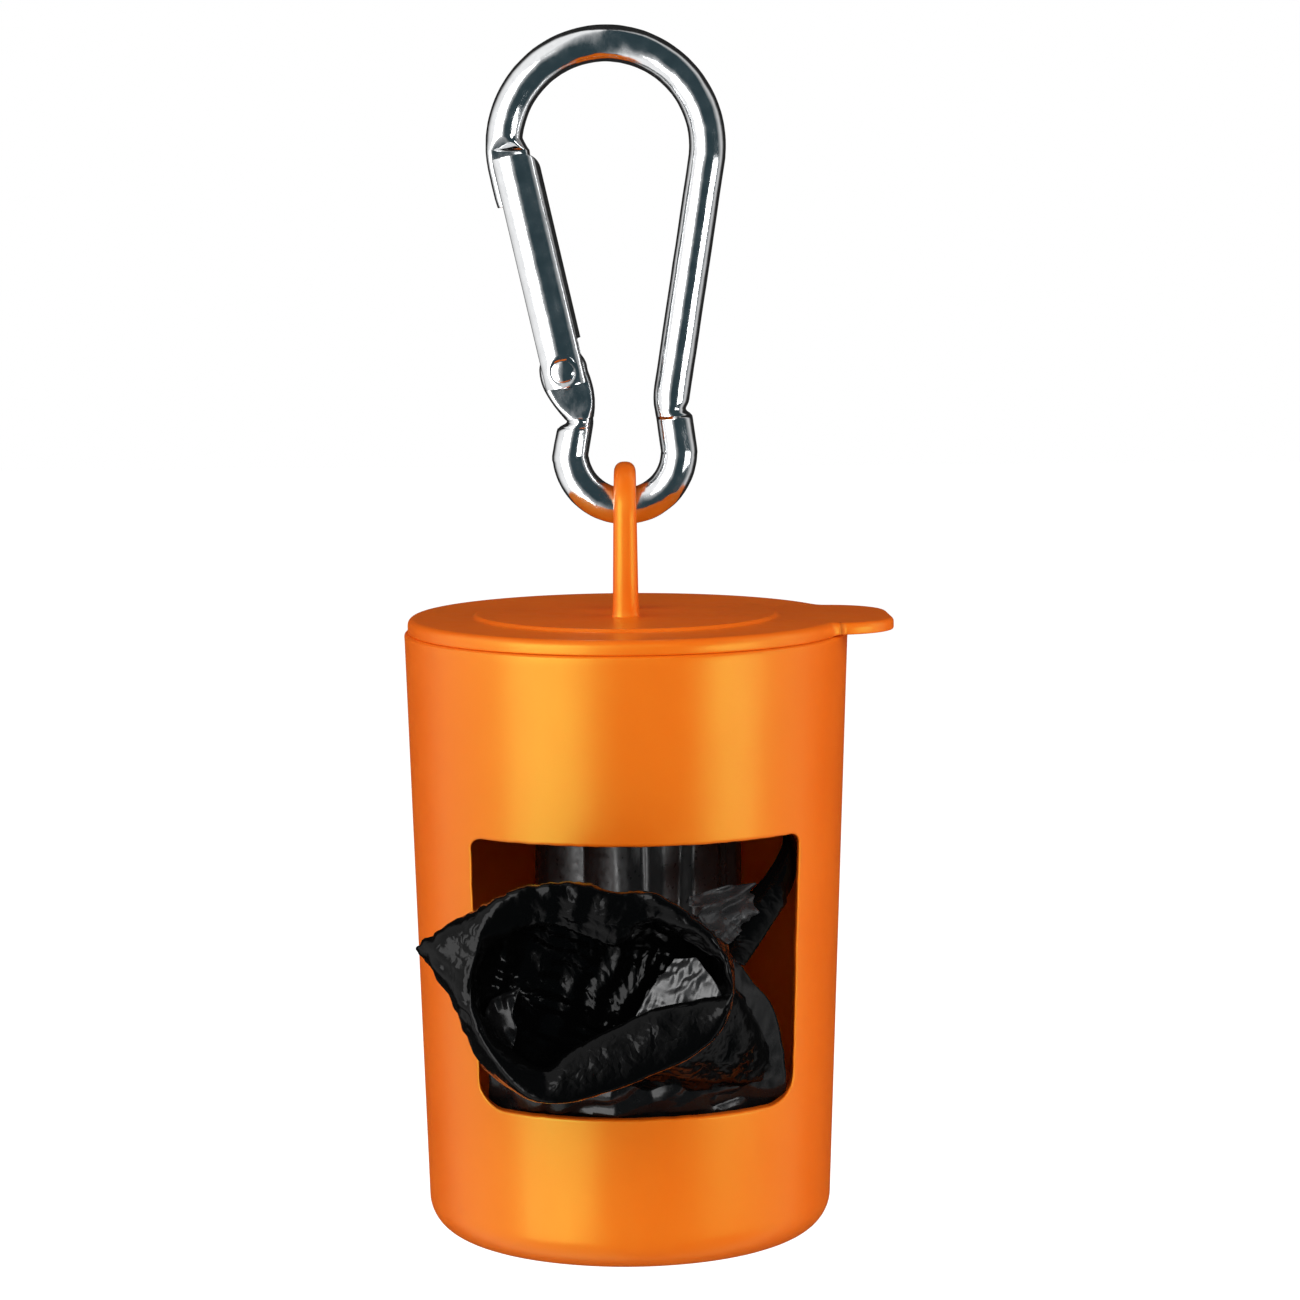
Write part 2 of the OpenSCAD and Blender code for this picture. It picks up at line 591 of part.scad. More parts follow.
function strand_ring(b) =
    [for (i = [0 : strand_sides - 1])
        let (a = 360 * i / strand_sides)
        [b[1] + b[3] / 2 * cos(a), b[0], b[2] + b[4] / 2 * sin(a)]];
module pulled_bag() {
    color("black") union() {
        sweep(finer_along([for (r = bag_rings) finer_round(r)]));
        sweep([for (b = strand_rings) strand_ring(b)]);
    }
}

canister();
lid();
carabiner_body();
carabiner_gate();
gate_rivet();
gate_spring();
roll_core();
bag_roll();
pulled_bag();
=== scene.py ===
import math

import bpy
import bmesh
from mathutils import Matrix, Vector, noise


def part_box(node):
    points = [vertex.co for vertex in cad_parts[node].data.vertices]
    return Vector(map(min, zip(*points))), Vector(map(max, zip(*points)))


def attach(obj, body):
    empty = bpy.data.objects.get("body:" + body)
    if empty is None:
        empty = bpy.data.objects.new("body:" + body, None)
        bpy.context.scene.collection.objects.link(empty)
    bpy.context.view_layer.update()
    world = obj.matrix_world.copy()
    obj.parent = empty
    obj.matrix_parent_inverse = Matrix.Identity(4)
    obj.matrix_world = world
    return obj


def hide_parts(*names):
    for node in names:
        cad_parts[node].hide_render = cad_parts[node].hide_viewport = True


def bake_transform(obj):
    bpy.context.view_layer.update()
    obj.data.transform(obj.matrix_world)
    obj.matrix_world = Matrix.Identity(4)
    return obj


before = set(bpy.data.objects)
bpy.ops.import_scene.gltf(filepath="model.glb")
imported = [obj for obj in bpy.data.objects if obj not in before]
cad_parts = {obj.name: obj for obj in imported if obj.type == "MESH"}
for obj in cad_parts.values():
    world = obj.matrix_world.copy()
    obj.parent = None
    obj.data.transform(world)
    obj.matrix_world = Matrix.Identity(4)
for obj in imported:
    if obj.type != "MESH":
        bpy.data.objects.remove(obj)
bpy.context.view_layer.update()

# All helpers below work in degrees, and in millimetres in the row frame. Meshes are scaled to metres
# when they are made.
MM = 0.001
UP = Vector((0, 0, 1))


def mix(a, b, share):
    return a + (b - a) * share


def smooth(share):
    share = min(1.0, max(0.0, share))
    return share * share * (3 - 2 * share)


def sin(degrees):
    return math.sin(math.radians(degrees))


def cos(degrees):
    return math.cos(math.radians(degrees))


def asin(share):
    return math.degrees(math.asin(share))


def polar(radius, degrees):
    return radius * cos(degrees), radius * sin(degrees)


def rotation(degrees, axis):
    return Matrix.Rotation(math.radians(degrees), 4, axis)


# ------------ sizes, in millimetres
RIM_R = 22.5
BASE_R = 20.5
CUP_H = 61.6
WALL = 1.3
FLOOR = 1.5
BASE_ROUND = 3.6
FOOT_RECESS = 0.4
FOOT_W = 3
BASE_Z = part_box("canister")[0][2] / MM

WINDOW_W = 32.4
WINDOW_H = 27.2
WINDOW_SILL = 15.7
WINDOW_DRAFT = 0.6
WINDOW_TOP_ROUND = 1
WINDOW_SILL_ROUND = 2.8
WINDOW_TURN = 3.3

LID_R = 22.15
LID_T = 1.5
LID_ROUND = 0.7
LID_Z = BASE_Z + CUP_H + LID_T
DISC_R = 15.25
DISC_H = 0.35
PLUG_R = 20.89
PLUG_H = 3.4
PLUG_T = 1.1
BEAD_H = 0.25
TAB_HALF = 8.7
TAB_REACH = 27
TAB_ROUND = 6
TAB_FILLET = 1
TAB_TURN = 3.5
TAB_TOP = -0.1
TAB_BOTTOM = -1.3
TAB_EDGE_ROUND = 0.45
LOOP_LEG = 3.75
LOOP_D = 2.5
LOOP_H = 15.3


# ------------ mesh helpers
def place_object(name, data):
    obj = bpy.data.objects.new(name, data)
    bpy.context.collection.objects.link(obj)
    return obj


def new_object(name, points, faces, material):
    """A mesh object from points in millimetres, with its normals turned outwards."""
    mesh = bpy.data.meshes.new(name)
    mesh.from_pydata([Vector(p) * MM for p in points], [], faces)
    obj = place_object(name, mesh)
    build = bmesh.new()
    build.from_mesh(mesh)
    bmesh.ops.remove_doubles(build, verts=build.verts, dist=0.002 * MM)
    bmesh.ops.dissolve_degenerate(build, edges=build.edges, dist=0.001 * MM)
    bmesh.ops.recalc_face_normals(build, faces=build.faces)
    build.to_mesh(mesh)
    build.free()
    mesh.shade_smooth()
    mesh.materials.append(material)
    return obj


def dress(obj, body, node_name):
    """obj rides on a body and stands for a CAD node, which is hidden."""
    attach(obj, body)
    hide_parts(node_name)


class Patches:
    """Points and faces of several grids that share their borders; new_object welds them."""

    def __init__(self):
        self.points = []
        self.faces = []

    def grid(self, rows, closed=False, keep=lambda row, column: True):
        start, width = len(self.points), len(rows[0])
        for row in rows:
            self.points.extend(row)
        for r in range(len(rows) - 1):
            for c in range(width if closed else width - 1):
                if keep(r, c):
                    a, b = start + r * width + c, start + r * width + (c + 1) % width
                    self.faces.append((a, b, b + width, a + width))

    def fan(self, row, centre):
        start = len(self.points)
        self.points.extend(row)
        self.points.append(centre)
        for c in range(len(row)):
            self.faces.append((start + c, start + (c + 1) % len(row), start + len(row)))


def tube(rings):
    """Points and faces of a tube through rings of points, closed at both ends."""
    patches = Patches()
    patches.grid(rings, closed=True)
    for ring in (rings[0], rings[-1]):
        patches.fan(ring, sum((Vector(p) for p in ring), Vector()) / len(ring))
    return patches.points, patches.faces


def spline(stations, per_span):
    """Catmull-Rom through stations, each a list of numbers, with per_span steps a span."""
    out = []
    for i in range(len(stations) - 1):
        before = stations[max(i - 1, 0)]
        a, b = stations[i], stations[i + 1]
        after = stations[min(i + 2, len(stations) - 1)]
        for step in range(per_span):
            t = step / per_span
            out.append([0.5 * (2 * q + (r - p) * t + (2 * p - 5 * q + 4 * r - s) * t * t
                               + (3 * q - p - 3 * r + s) * t ** 3)
                        for p, q, r, s in zip(before, a, b, after)])
    out.append(list(stations[-1]))
    return out


# ------------ materials
def material(name, color, roughness, metallic=0.0, **sockets):
    """A Principled material, its tree and its shader, for a function below to finish."""
    mat = bpy.data.materials.new(name)
    mat.use_nodes = True
    shader = mat.node_tree.nodes["Principled BSDF"]
    shader.inputs["Base Color"].default_value = (*color, 1)
    shader.inputs["Roughness"].default_value = roughness
    shader.inputs["Metallic"].default_value = metallic
    for socket, value in sockets.items():
        shader.inputs[socket.replace("_", " ")].default_value = value
    return mat, mat.node_tree, shader


def feed(tree, socket, value):
    """Give a node's input another node's output, or a constant."""
    if isinstance(value, bpy.types.NodeSocket):
        tree.links.new(value, socket)
    else:
        socket.default_value = value


def node(tree, kind, **settings):
    """A shader node. Each setting is one of its attributes or what one of its inputs is fed."""
    made = tree.nodes.new("ShaderNode" + kind)
    for key, value in settings.items():
        if hasattr(made, key):
            setattr(made, key, value)
        else:
            feed(tree, made.inputs[key.replace("_", " ")], value)
    return made


def maths(tree, operation, *values):
    """The output of a Math node, whose inputs are fed in order."""
    made = node(tree, "Math", operation=operation)
    for socket, value in zip(made.inputs, values):
        feed(tree, socket, value)
    return made.outputs[0]


def noise_at(tree, scale, detail, stretch=(1, 1, 1), roughness=0.5):
    """Noise on the object's own coordinates. scale is in waves per metre."""
    place = node(tree, "Mapping", Vector=node(tree, "TexCoord").outputs["Object"], Scale=stretch)
    made = node(tree, "TexNoise", Vector=place.outputs["Vector"], Scale=scale, Detail=detail,
                Roughness=roughness)
    return made.outputs["Fac"]


def ramp(tree, source, low, high, to_low, to_high):
    """source from low..high mapped to to_low..to_high, clamped."""
    made = node(tree, "MapRange", Value=source, From_Min=low, From_Max=high, To_Min=to_low, To_Max=to_high)
    return made.outputs["Result"]


def mix_colors(tree, factor, first, second):
    """A mix of two colours, each of them a tuple or a node's output."""
    first, second = ((*color, 1) if isinstance(color, tuple) else color for color in (first, second))
    return node(tree, "Mix", data_type="RGBA", Factor=factor, A=first, B=second).outputs["Result"]


def mottle(tree, shader, source, low, high, first, second):
    """Let the base colour wander between two tones as the source goes from low to high."""
    factor = ramp(tree, source, low, high, 0, 1)
    tree.links.new(mix_colors(tree, factor, first, second), shader.inputs["Base Color"])


def bump(tree, shader, height, strength, distance_mm):
    made = node(tree, "Bump", Height=height, Strength=strength, Distance=distance_mm * MM)
    tree.links.new(made.outputs["Normal"], shader.inputs["Normal"])


def orange_plastic():
    """Moulded polypropylene: satin gloss, slight cloudiness, fine flow lines down the draw."""
    mat, tree, shader = material(
        "orange_plastic", ORANGE, 0.33, Subsurface_Weight=0.12, Subsurface_Radius=(1.0, 0.35, 0.05),
        Subsurface_Scale=1.2 * MM, Specular_IOR_Level=1.0, Specular_Tint=(0.3, 1.0, 0.15, 1.0))
    mottle(tree, shader, noise_at(tree, 90, detail=3), 0.35, 0.65, ORANGE_DEEP, ORANGE)
    scuffs = noise_at(tree, 420, detail=8, stretch=(1, 1, 0.35), roughness=0.65)
    tree.links.new(ramp(tree, scuffs, 0.3, 0.7, 0.3, 0.37), shader.inputs["Roughness"])
    bump(tree, shader, noise_at(tree, 900, detail=2, stretch=(1, 1, 0.12)), 0.1, 0.002)
    return mat


def polished_metal(name, tone, rough_low, rough_high, dent_mm):
    """Polished metal with soft dents, a fine grain and slightly darker, duller patches."""
    mat, tree, shader = material(name, tone, rough_low, metallic=1.0)
    stains = noise_at(tree, 700, detail=6, roughness=0.6)
    tree.links.new(ramp(tree, stains, 0.35, 0.75, rough_low, rough_high), shader.inputs["Roughness"])
    darker = tuple(channel * 0.86 for channel in tone)
    mottle(tree, shader, stains, 0.3, 0.7, darker, tone)
    dents = noise_at(tree, 330, detail=3)
    fine = noise_at(tree, 2400, detail=6, roughness=0.6)
    bump(tree, shader, maths(tree, "MULTIPLY_ADD", fine, 0.12, dents), 0.5, dent_mm)
    return mat


def black_film(name, roughness, crease_mm, gloss, tone):
    """Thin black bag film, glossy, with small flat facets and a fine grain."""
    mat, tree, shader = material(name, (tone, tone, tone * 1.04), roughness, Specular_IOR_Level=gloss)
    place = node(tree, "TexCoord").outputs["Object"]
    wander = node(tree, "TexNoise", Vector=place, Scale=260.0, Detail=3.0).outputs["Color"]
    moved = node(tree, "MixRGB", blend_type="LINEAR_LIGHT", Fac=0.004, Color1=place, Color2=wander)
    facets = node(tree, "TexVoronoi", feature="DISTANCE_TO_EDGE", Vector=moved.outputs["Color"], Scale=420.0)
    fine = noise_at(tree, 1500, detail=2)
    bump(tree, shader, maths(tree, "MULTIPLY_ADD", fine, 0.1, facets.outputs["Distance"]), 0.6, crease_mm)
    tree.links.new(ramp(tree, fine, 0.3, 0.75, roughness * 0.75, roughness * 1.5), shader.inputs["Roughness"])
    return mat


def plain_card():
    """Grey-brown card with fibres."""
    mat, tree, shader = material("card", (0.33, 0.22, 0.13), 0.85)
    fibres = noise_at(tree, 1400, detail=8, stretch=(1, 1, 0.5), roughness=0.7)
    mottle(tree, shader, fibres, 0.3, 0.7, (0.24, 0.15, 0.085), (0.4, 0.28, 0.17))
    bump(tree, shader, fibres, 0.5, 0.05)
    return mat


ORANGE = (0.92, 0.15, 0.005)
ORANGE_DEEP = (0.89, 0.138, 0.004)
PLASTIC = orange_plastic()
METAL = polished_metal("polished_aluminium", (0.88, 0.89, 0.90), 0.08, 0.2, 0.07)
STEEL = polished_metal("drawn_steel", (0.42, 0.42, 0.43), 0.22, 0.35, 0.01)
FILM = black_film("bag_film", 0.13, 0.17, 0.12, tone=0.0015)
# Painted light: the same black film with a lighter grey tone, which stands in for the light that the web and
# the inner fold catch.
LIT_FILM = black_film("film_painted_lit", 0.3, 0.06, 0.6, tone=0.02)
# Painted light: the black film with a slightly lighter tone, which stands in for the dim light on the fan,
# the sill film and the left inner fold.
HALF_LIT_FILM = black_film("film_painted_half_lit", 0.2, 0.04, 0.26, tone=0.006)
# Painted light: the wound film's grey tone, lighter than the bag film's, stands in for the light on the roll.
LIT_ROLL_FILM = black_film("roll_film_painted_lit", 0.34, 0.02, 0.5, tone=0.018)
CARD = plain_card()


# ------------ camera and studio
CAMERA = (2.43, -418.5, BASE_Z + 110.0)
PITCH = 6.876
ROLL = 0.391
LENS = 114.8
SENSOR = 36
FLOOR_DROP = 150
FLOOR_HALF = 3000


def add_camera():
    data = bpy.data.cameras.new("camera")
    data.lens = LENS
    data.sensor_width = SENSOR
    data.clip_start = 0.01
    data.clip_end = 20
    camera = place_object("camera", data)
    turn = rotation(90 - PITCH, "X") @ rotation(-ROLL, "Z")
    camera.matrix_world = Matrix.Translation(Vector(CAMERA) * MM) @ turn
    bpy.context.scene.camera = camera


def softbox(name, azimuth, distance, height, size, watts, lights):
    """A lamp at an azimuth from -Y towards +X, which looks at the object's middle.

    It lights either the diffuse part of each surface or its glossy part.
    """
    data = bpy.data.lights.new(name, "AREA")
    data.shape = "RECTANGLE"
    data.size, data.size_y = size
    data.energy = watts
    lamp = place_object(name, data)
    lamp.location = (distance * sin(azimuth), -distance * cos(azimuth), height)
    aim = Vector((0, 0, BASE_Z / 2 * MM)) - lamp.location
    lamp.rotation_euler = aim.to_track_quat("-Z", "Y").to_euler()
    lamp.visible_diffuse = lights == "diffuse"
    lamp.visible_glossy = lights == "glossy"


def add_world():
    """White to the camera, even to diffuse light, and a room of bright and dark sides to mirrors."""
    world = bpy.data.worlds.new("studio")
    bpy.context.scene.world = world
    world.use_nodes = True
    tree = world.node_tree
    split = node(tree, "SeparateXYZ", Vector=node(tree, "TexCoord").outputs["Generated"])
    azimuth = maths(tree, "ARCTAN2", split.outputs["X"], maths(tree, "MULTIPLY", split.outputs["Y"], -1))
    room = node(tree, "ValToRGB", Fac=ramp(tree, azimuth, -math.pi, math.pi, 0, 1))
    stops = room.color_ramp.elements
    for stop in stops:
        stop.color = (*DIM, 1)
    for degrees, tone in ROOM:
        stops.new(degrees / 360 + 0.5).color = (*tone, 1)
    paths = node(tree, "LightPath").outputs
    seen = maths(tree, "MAXIMUM", paths["Is Camera Ray"], paths["Is Transmission Ray"])
    level = mix_colors(tree, paths["Is Glossy Ray"], (AMBIENT,) * 3, room.outputs["Color"])
    level = mix_colors(tree, seen, level, WHITE)
    tree.links.new(level, tree.nodes["Background"].inputs["Color"])


def add_floor():
    """A plain pale floor under the hanging object, which the camera sees lifted to white."""
    mat, tree, shader = material("floor", (0.82, 0.82, 0.82), 0.9, Specular_IOR_Level=0.0)
    lift = maths(tree, "MULTIPLY", node(tree, "LightPath").outputs["Is Camera Ray"], FLOOR_LIFT)
    both = node(tree, "AddShader")
    tree.links.new(shader.outputs[0], both.inputs[0])
    tree.links.new(node(tree, "Emission", Strength=lift).outputs[0], both.inputs[1])
    tree.links.new(both.outputs[0], tree.nodes["Material Output"].inputs["Surface"])
    z = BASE_Z - FLOOR_DROP
    corners = [(x * FLOOR_HALF, y * FLOOR_HALF, z) for x, y in ((-1, -1), (1, -1), (1, 1), (-1, 1))]
    floor = new_object("floor", corners, [(0, 1, 2, 3)], mat)
    # Mirrors see the room behind it instead, so that the plastic keeps its depth of colour.
    floor.visible_glossy = False


AMBIENT = 0.29
WHITE = (1.0, 1.0, 1.0)
DARK = (0.03, 0.052, 0.062)
DIM = (0.02, 0.02, 0.02)
# What mirrors see all round, by azimuth from -Y towards +X: bright at the left, dark from the front to
# the right, then a bright strip, and dim behind.
ROOM = ((-130, DIM), (-108, (0.8, 0.8, 0.8)), (-90, WHITE), (-30, WHITE), (-2, DARK), (70, DARK),
        (98, (0.7, 0.7, 0.7)), (116, DIM))
FLOOR_LIFT = 0.78
add_camera()
add_world()
add_floor()
# The fills light the object evenly from the front and both sides; the softboxes only show as highlights.
for name, azimuth, height in (("fill", 0, 0.4), ("fill_left", -80, 0.3), ("fill_right", 80, 0.3)):
    softbox(name, azimuth, 1.1, height, (1.0, 1.0), 7.2, "diffuse")
softbox("softbox_left", -41, 0.9, -0.1, (0.7, 1.1), 11, "glossy")
softbox("softbox_right", 56, 0.9, -0.185, (0.5, 0.15), 1.7, "glossy")
bpy.context.scene.view_settings.view_transform = "Standard"


# ------------ canister
COLUMN = 2
PATCH_HALF = 60
PATCH_LOW = 10.5
PATCH_ROW = 0.9
PATCH_ROWS = 41
PATCH_HIGH = PATCH_LOW + PATCH_ROW * PATCH_ROWS
PATCH_COLUMNS = 2 * PATCH_HALF // COLUMN
EDGE_ROUND = 0.32


def wall_r(height):
    return mix(BASE_R, RIM_R, height / CUP_H)


def corner_arc(centre, radius, start, end, steps):
    offsets = [polar(radius, mix(start, end, i / steps)) for i in range(steps + 1)]
    return [(centre[0] + x, centre[1] + y) for x, y in offsets]


def window_side(points, count):
    """count + 1 places along a line of points, closer together towards its ends."""
    gather = 0.62
    lengths = [0.0]
    for a, b in zip(points, points[1:]):
        lengths.append(lengths[-1] + math.dist(a, b))
    places = []
    for i in range(count + 1):
        t = i / count
        want = lengths[-1] * (t - gather * math.sin(2 * math.pi * t) / (2 * math.pi))
        k = 0
        while k < len(points) - 2 and lengths[k + 1] < want:
            k += 1
        span = (want - lengths[k]) / (lengths[k + 1] - lengths[k])
        places.append((mix(points[k][0], points[k + 1][0], span), mix(points[k][1], points[k + 1][1], span)))
    return places


def window_curve():
    """The window's outline, from the middle of its lower left corner round through the right."""
    top, half_low, half_high = WINDOW_SILL + WINDOW_H, WINDOW_W / 2 - WINDOW_DRAFT, WINDOW_W / 2
    low, high = WINDOW_SILL_ROUND, WINDOW_TOP_ROUND
    corners = [((-half_low + low, WINDOW_SILL + low), low, 180, 270),
               ((half_low - low, WINDOW_SILL + low), low, 270, 360),
               ((half_high - high, top - high), high, 0, 90),
               ((-half_high + high, top - high), high, 90, 180)]
    steps = 12
    arcs = [corner_arc(*corner, steps) for corner in corners]
    out = []
    for i, count in enumerate((PATCH_COLUMNS, PATCH_ROWS) * 2):
        line = arcs[i][steps // 2:] + arcs[(i + 1) % 4][:steps // 2 + 1]
        out += window_side(line, count)[:-1]
    return out


def outward(points):
    """The outward normal at each point of a closed outline that runs anticlockwise."""
    out = []
    for i in range(len(points)):
        a, b = points[i - 1], points[(i + 1) % len(points)]
        length = math.dist(a, b) or 1
        out.append(((b[1] - a[1]) / length, -(b[0] - a[0]) / length))
    return out


def patch_border():
    """The rectangle of the wall round the window, as angles and heights, in the same order."""
    out = [(-PATCH_HALF + COLUMN * i, PATCH_LOW) for i in range(PATCH_COLUMNS)]
    out += [(PATCH_HALF, PATCH_LOW + PATCH_ROW * i) for i in range(PATCH_ROWS)]
    out += [(PATCH_HALF - COLUMN * i, PATCH_HIGH) for i in range(PATCH_COLUMNS)]
    out += [(-PATCH_HALF, PATCH_HIGH - PATCH_ROW * i) for i in range(PATCH_ROWS)]
    return out


def bezier(a, b, c, steps):
    return [a * (1 - t) ** 2 + b * 2 * t * (1 - t) + c * t * t
            for t in [i / steps for i in range(steps + 1)]]


def canister_points():
    patches = Patches()
    angles = list(range(-180, 180, COLUMN))

    def ring(radius, height):
        return [Vector((radius * sin(a), -radius * cos(a), height)) for a in angles]

    def inner(height):
        return wall_r(height) - WALL

    def revolve(profile, patch_from, end):
        """Turn a profile round the axis, leave out the window's patch, and close it at one end."""
        first = profile.index(patch_from)

        def kept(row, column):
            in_rows = first <= row < first + PATCH_ROWS
            return not (in_rows and abs(angles[column] + COLUMN / 2) < PATCH_HALF)

        patches.grid([ring(*p) for p in profile], closed=True, keep=kept)
        patches.fan(ring(*end), UP * end[1])

    band = [PATCH_LOW + PATCH_ROW * i for i in range(PATCH_ROWS + 1)]
    arc_r = wall_r(BASE_ROUND) - BASE_ROUND
    foot_r = wall_r(0) - BASE_ROUND

    # Outside: recessed base, foot ring, rounded edge, wall and the rim's rounded edge.
    rim_round = 0.3
    foot_in = foot_r - FOOT_W
    profile = [(foot_in - 6, FOOT_RECESS), (foot_in - 0.1, FOOT_RECESS), (foot_in + 0.05, FOOT_RECESS - 0.03),
               (foot_in + FOOT_RECESS - 0.05, 0.04), (foot_in + FOOT_RECESS + 0.1, 0), (foot_r - 0.6, 0)]
    profile += corner_arc((arc_r, BASE_ROUND), BASE_ROUND, -90, 0, 14)
    profile += [(wall_r(h), h) for h in (5, 6.8, 8.6, *band, 50, 53, 56, 59, 60.6)]
    profile += corner_arc((wall_r(CUP_H) - rim_round, CUP_H - rim_round), rim_round, 0, 90, 4)
    revolve(profile, (wall_r(band[0]), band[0]), profile[0])

    # Inside: the lid's seat, the wall, the rounded floor.
    seat_r, seat_z, inner_round = RIM_R - WALL, CUP_H - PLUG_H - 0.4, BASE_ROUND - WALL
    inside = [(RIM_R - rim_round, CUP_H), (seat_r + 0.2, CUP_H), (seat_r + 0.06, CUP_H - 0.06),
              (seat_r, CUP_H - 0.2), (seat_r, seat_z + 0.15)]
    inside += [(inner(h), h) for h in (seat_z, 53, 50, *reversed(band), 8.6, 6.8)]
    inner_arc = wall_r(BASE_ROUND) - WALL - inner_round
    inside += reversed(corner_arc((inner_arc, FLOOR + inner_round), inner_round, -90, 0, 8))
    inside += [(12, FLOOR)]
    revolve(inside, (inner(band[-1]), band[-1]), inside[-1])

    # The window: the wall closes in on its outline, rounds over and runs straight back.
    curve = window_curve()
    normals = outward(curve)
    burr_size = 0.05
    burr = [burr_size * noise.noise(Vector((x * 1.1, z * 1.1, 3.7))) for x, z in curve]
    curve = [(x + n[0] * b, z + n[1] * b) for (x, z), n, b in zip(curve, normals, burr)]
    border = patch_border()

    def surface(radius_at, spread, share):
        """A row of a wall, spread beside the outline and a share of the way to the patch's border."""
        row = []
        for (x, z), n, (angle, height) in zip(curve, normals, border):
            x, z = x + n[0] * spread, z + n[1] * spread
            a = mix(asin(x / radius_at(z)), angle, share)
            h = mix(z, height, share)
            row.append(Vector((radius_at(h) * sin(a), -radius_at(h) * cos(a), h)))
        return row

    shares = (1, 0.85, 0.7, 0.55, 0.4, 0.28, 0.18, 0.1, 0.045, 0.015)
    rows = [surface(wall_r, EDGE_ROUND, s) for s in shares]
    inner_rows = [surface(inner, EDGE_ROUND, s) for s in reversed(shares)]
    depth = Vector((0, EDGE_ROUND, 0))
    edges = [surface(wall_r, EDGE_ROUND, 0), surface(wall_r, 0, 0), surface(inner, 0, 0),
             surface(inner, EDGE_ROUND, 0)]
    bends = [bezier(first, front, front + depth, 5) + bezier(back - depth, back, last, 5)
             for first, front, back, last in zip(*edges)]
    rows += zip(*bends)
    rows += inner_rows
    patches.grid(rows, closed=True)

    turn = rotation(WINDOW_TURN, "Z")
    return [turn @ p + UP * BASE_Z for p in patches.points], patches.faces


shell = new_object("canister_shell", *canister_points(), PLASTIC)
dress(shell, "canister", "canister")


# ------------ lid
def lid_outline():
    """The plate's edge with the thumb tab on it, as (point, share of tab), anticlockwise."""
    fillet_y = TAB_HALF + TAB_FILLET
    fillet_x = math.sqrt((LID_R + TAB_FILLET) ** 2 - fillet_y ** 2)
    meet = math.degrees(math.atan2(fillet_y, fillet_x))
    corner_x, corner_y = TAB_REACH - TAB_ROUND, TAB_HALF - TAB_ROUND
    plate_steps = 130
    out = []
    for i in range(plate_steps):
        a = mix(meet, 360 - meet, i / plate_steps)
        out.append((polar(LID_R, a), 0.0))
    fillet = corner_arc((fillet_x, -fillet_y), TAB_FILLET, 180 - meet, 90, 7)
    out += [(p, smooth(i / 7)) for i, p in enumerate(fillet)]
    tip = corner_arc((corner_x, -corner_y), TAB_ROUND, -90, 0, 14)
    tip += [(TAB_REACH, mix(-corner_y, corner_y, i / 4)) for i in range(1, 4)]
    tip += corner_arc((corner_x, corner_y), TAB_ROUND, 0, 90, 14)
    out += [(p, 1.0) for p in tip]
    back = corner_arc((fillet_x, fillet_y), TAB_FILLET, -90, meet - 180, 7)
    out += [(p, smooth(1 - i / 7)) for i, p in enumerate(back[:-1])]
    c, s = polar(1, TAB_TURN)
    return [((x * c - y * s, x * s + y * c), share) for (x, y), share in out]


def lid_points():
    edge, tab = zip(*lid_outline())
    normals = outward(edge)
    each = range(len(edge))
    edge_round = [mix(LID_ROUND, TAB_EDGE_ROUND, share) for share in tab]
    top = [mix(0, TAB_TOP, share) for share in tab]
    bottom = [mix(-LID_T, TAB_BOTTOM, share) for share in tab]
    low_round = 0.15
    plate_r = 18.5
    patches = Patches()

    def on_top(p):
        """The point of the upper face above p: a shallow disc, the plate, and the tab just below it."""
        r = math.hypot(p.x, p.y)
        out = smooth((r - 20.8) / 2.0) * smooth((p.x - 14) / 5)
        return Vector((p.x, p.y, DISC_H * (1 - smooth((r - DISC_R + 0.15) / 0.5)) + TAB_TOP * out))

    def circle(radius, z):
        return [Vector((*(radius * c / math.hypot(*p) for c in p), z)) for p in edge]

    def inset(i, distance, z):
        """The outline's point i, moved in from the edge."""
        return Vector((*(c - n * distance for c, n in zip(edge[i], normals[i])), z))

    rows = []
    for radius in (1, 3, 6, 9, 12, 14, 14.8, 15.0, 15.12, 15.22, 15.32, 15.44, 15.56, 15.8, 16.5, 17.5,
                   plate_r):
        rows.append([on_top(p) for p in circle(radius, 0)])
    start = circle(plate_r, 0)
    for share in (0.2, 0.4, 0.58, 0.74, 0.87, 0.95, 1.0):
        rows.append([on_top(start[i].lerp(inset(i, edge_round[i], 0), share)) for i in each])
    for angle in (75, 60, 45, 30, 15, 0):
        out, drop = 1 - cos(angle), 1 - sin(angle)
        rows.append([inset(i, edge_round[i] * out, top[i] - edge_round[i] * drop) for i in each])
    for angle in (0, 30, 60, 90):
        out, drop = 1 - cos(angle), 1 - sin(angle)
        rows.append([inset(i, low_round * out, bottom[i] + low_round * drop) for i in each])
    under, plug_in = -LID_T, PLUG_R - PLUG_T
    low_z = under - PLUG_H
    rows.append(circle(22.0, TAB_BOTTOM - 0.12))
    for radius, z in ((21.6, under), (PLUG_R + 0.1, under), (PLUG_R, under - 0.1), (PLUG_R, low_z + 1.6),
                      (PLUG_R + BEAD_H, low_z + 1.25), (PLUG_R + BEAD_H, low_z + 0.75), (PLUG_R, low_z + 0.4),
                      (PLUG_R - 0.4, low_z), (plug_in + 0.1, low_z), (plug_in, low_z + 0.1),
                      (plug_in, under - 0.3), (plug_in - 0.1, under - 0.08), (plug_in - 0.3, under),
                      (14, under), (6, under)):
        rows.append(circle(radius, z))
    patches.grid(rows, closed=True)
    patches.fan(rows[0], Vector((0, 0, DISC_H)))
    patches.fan(rows[-1], Vector((0, 0, -LID_T)))
    points, faces = loop_points()
    start = len(patches.points)
    return ([p + UP * LID_Z for p in patches.points] + points,
            patches.faces + [tuple(i + start for i in face) for face in faces])


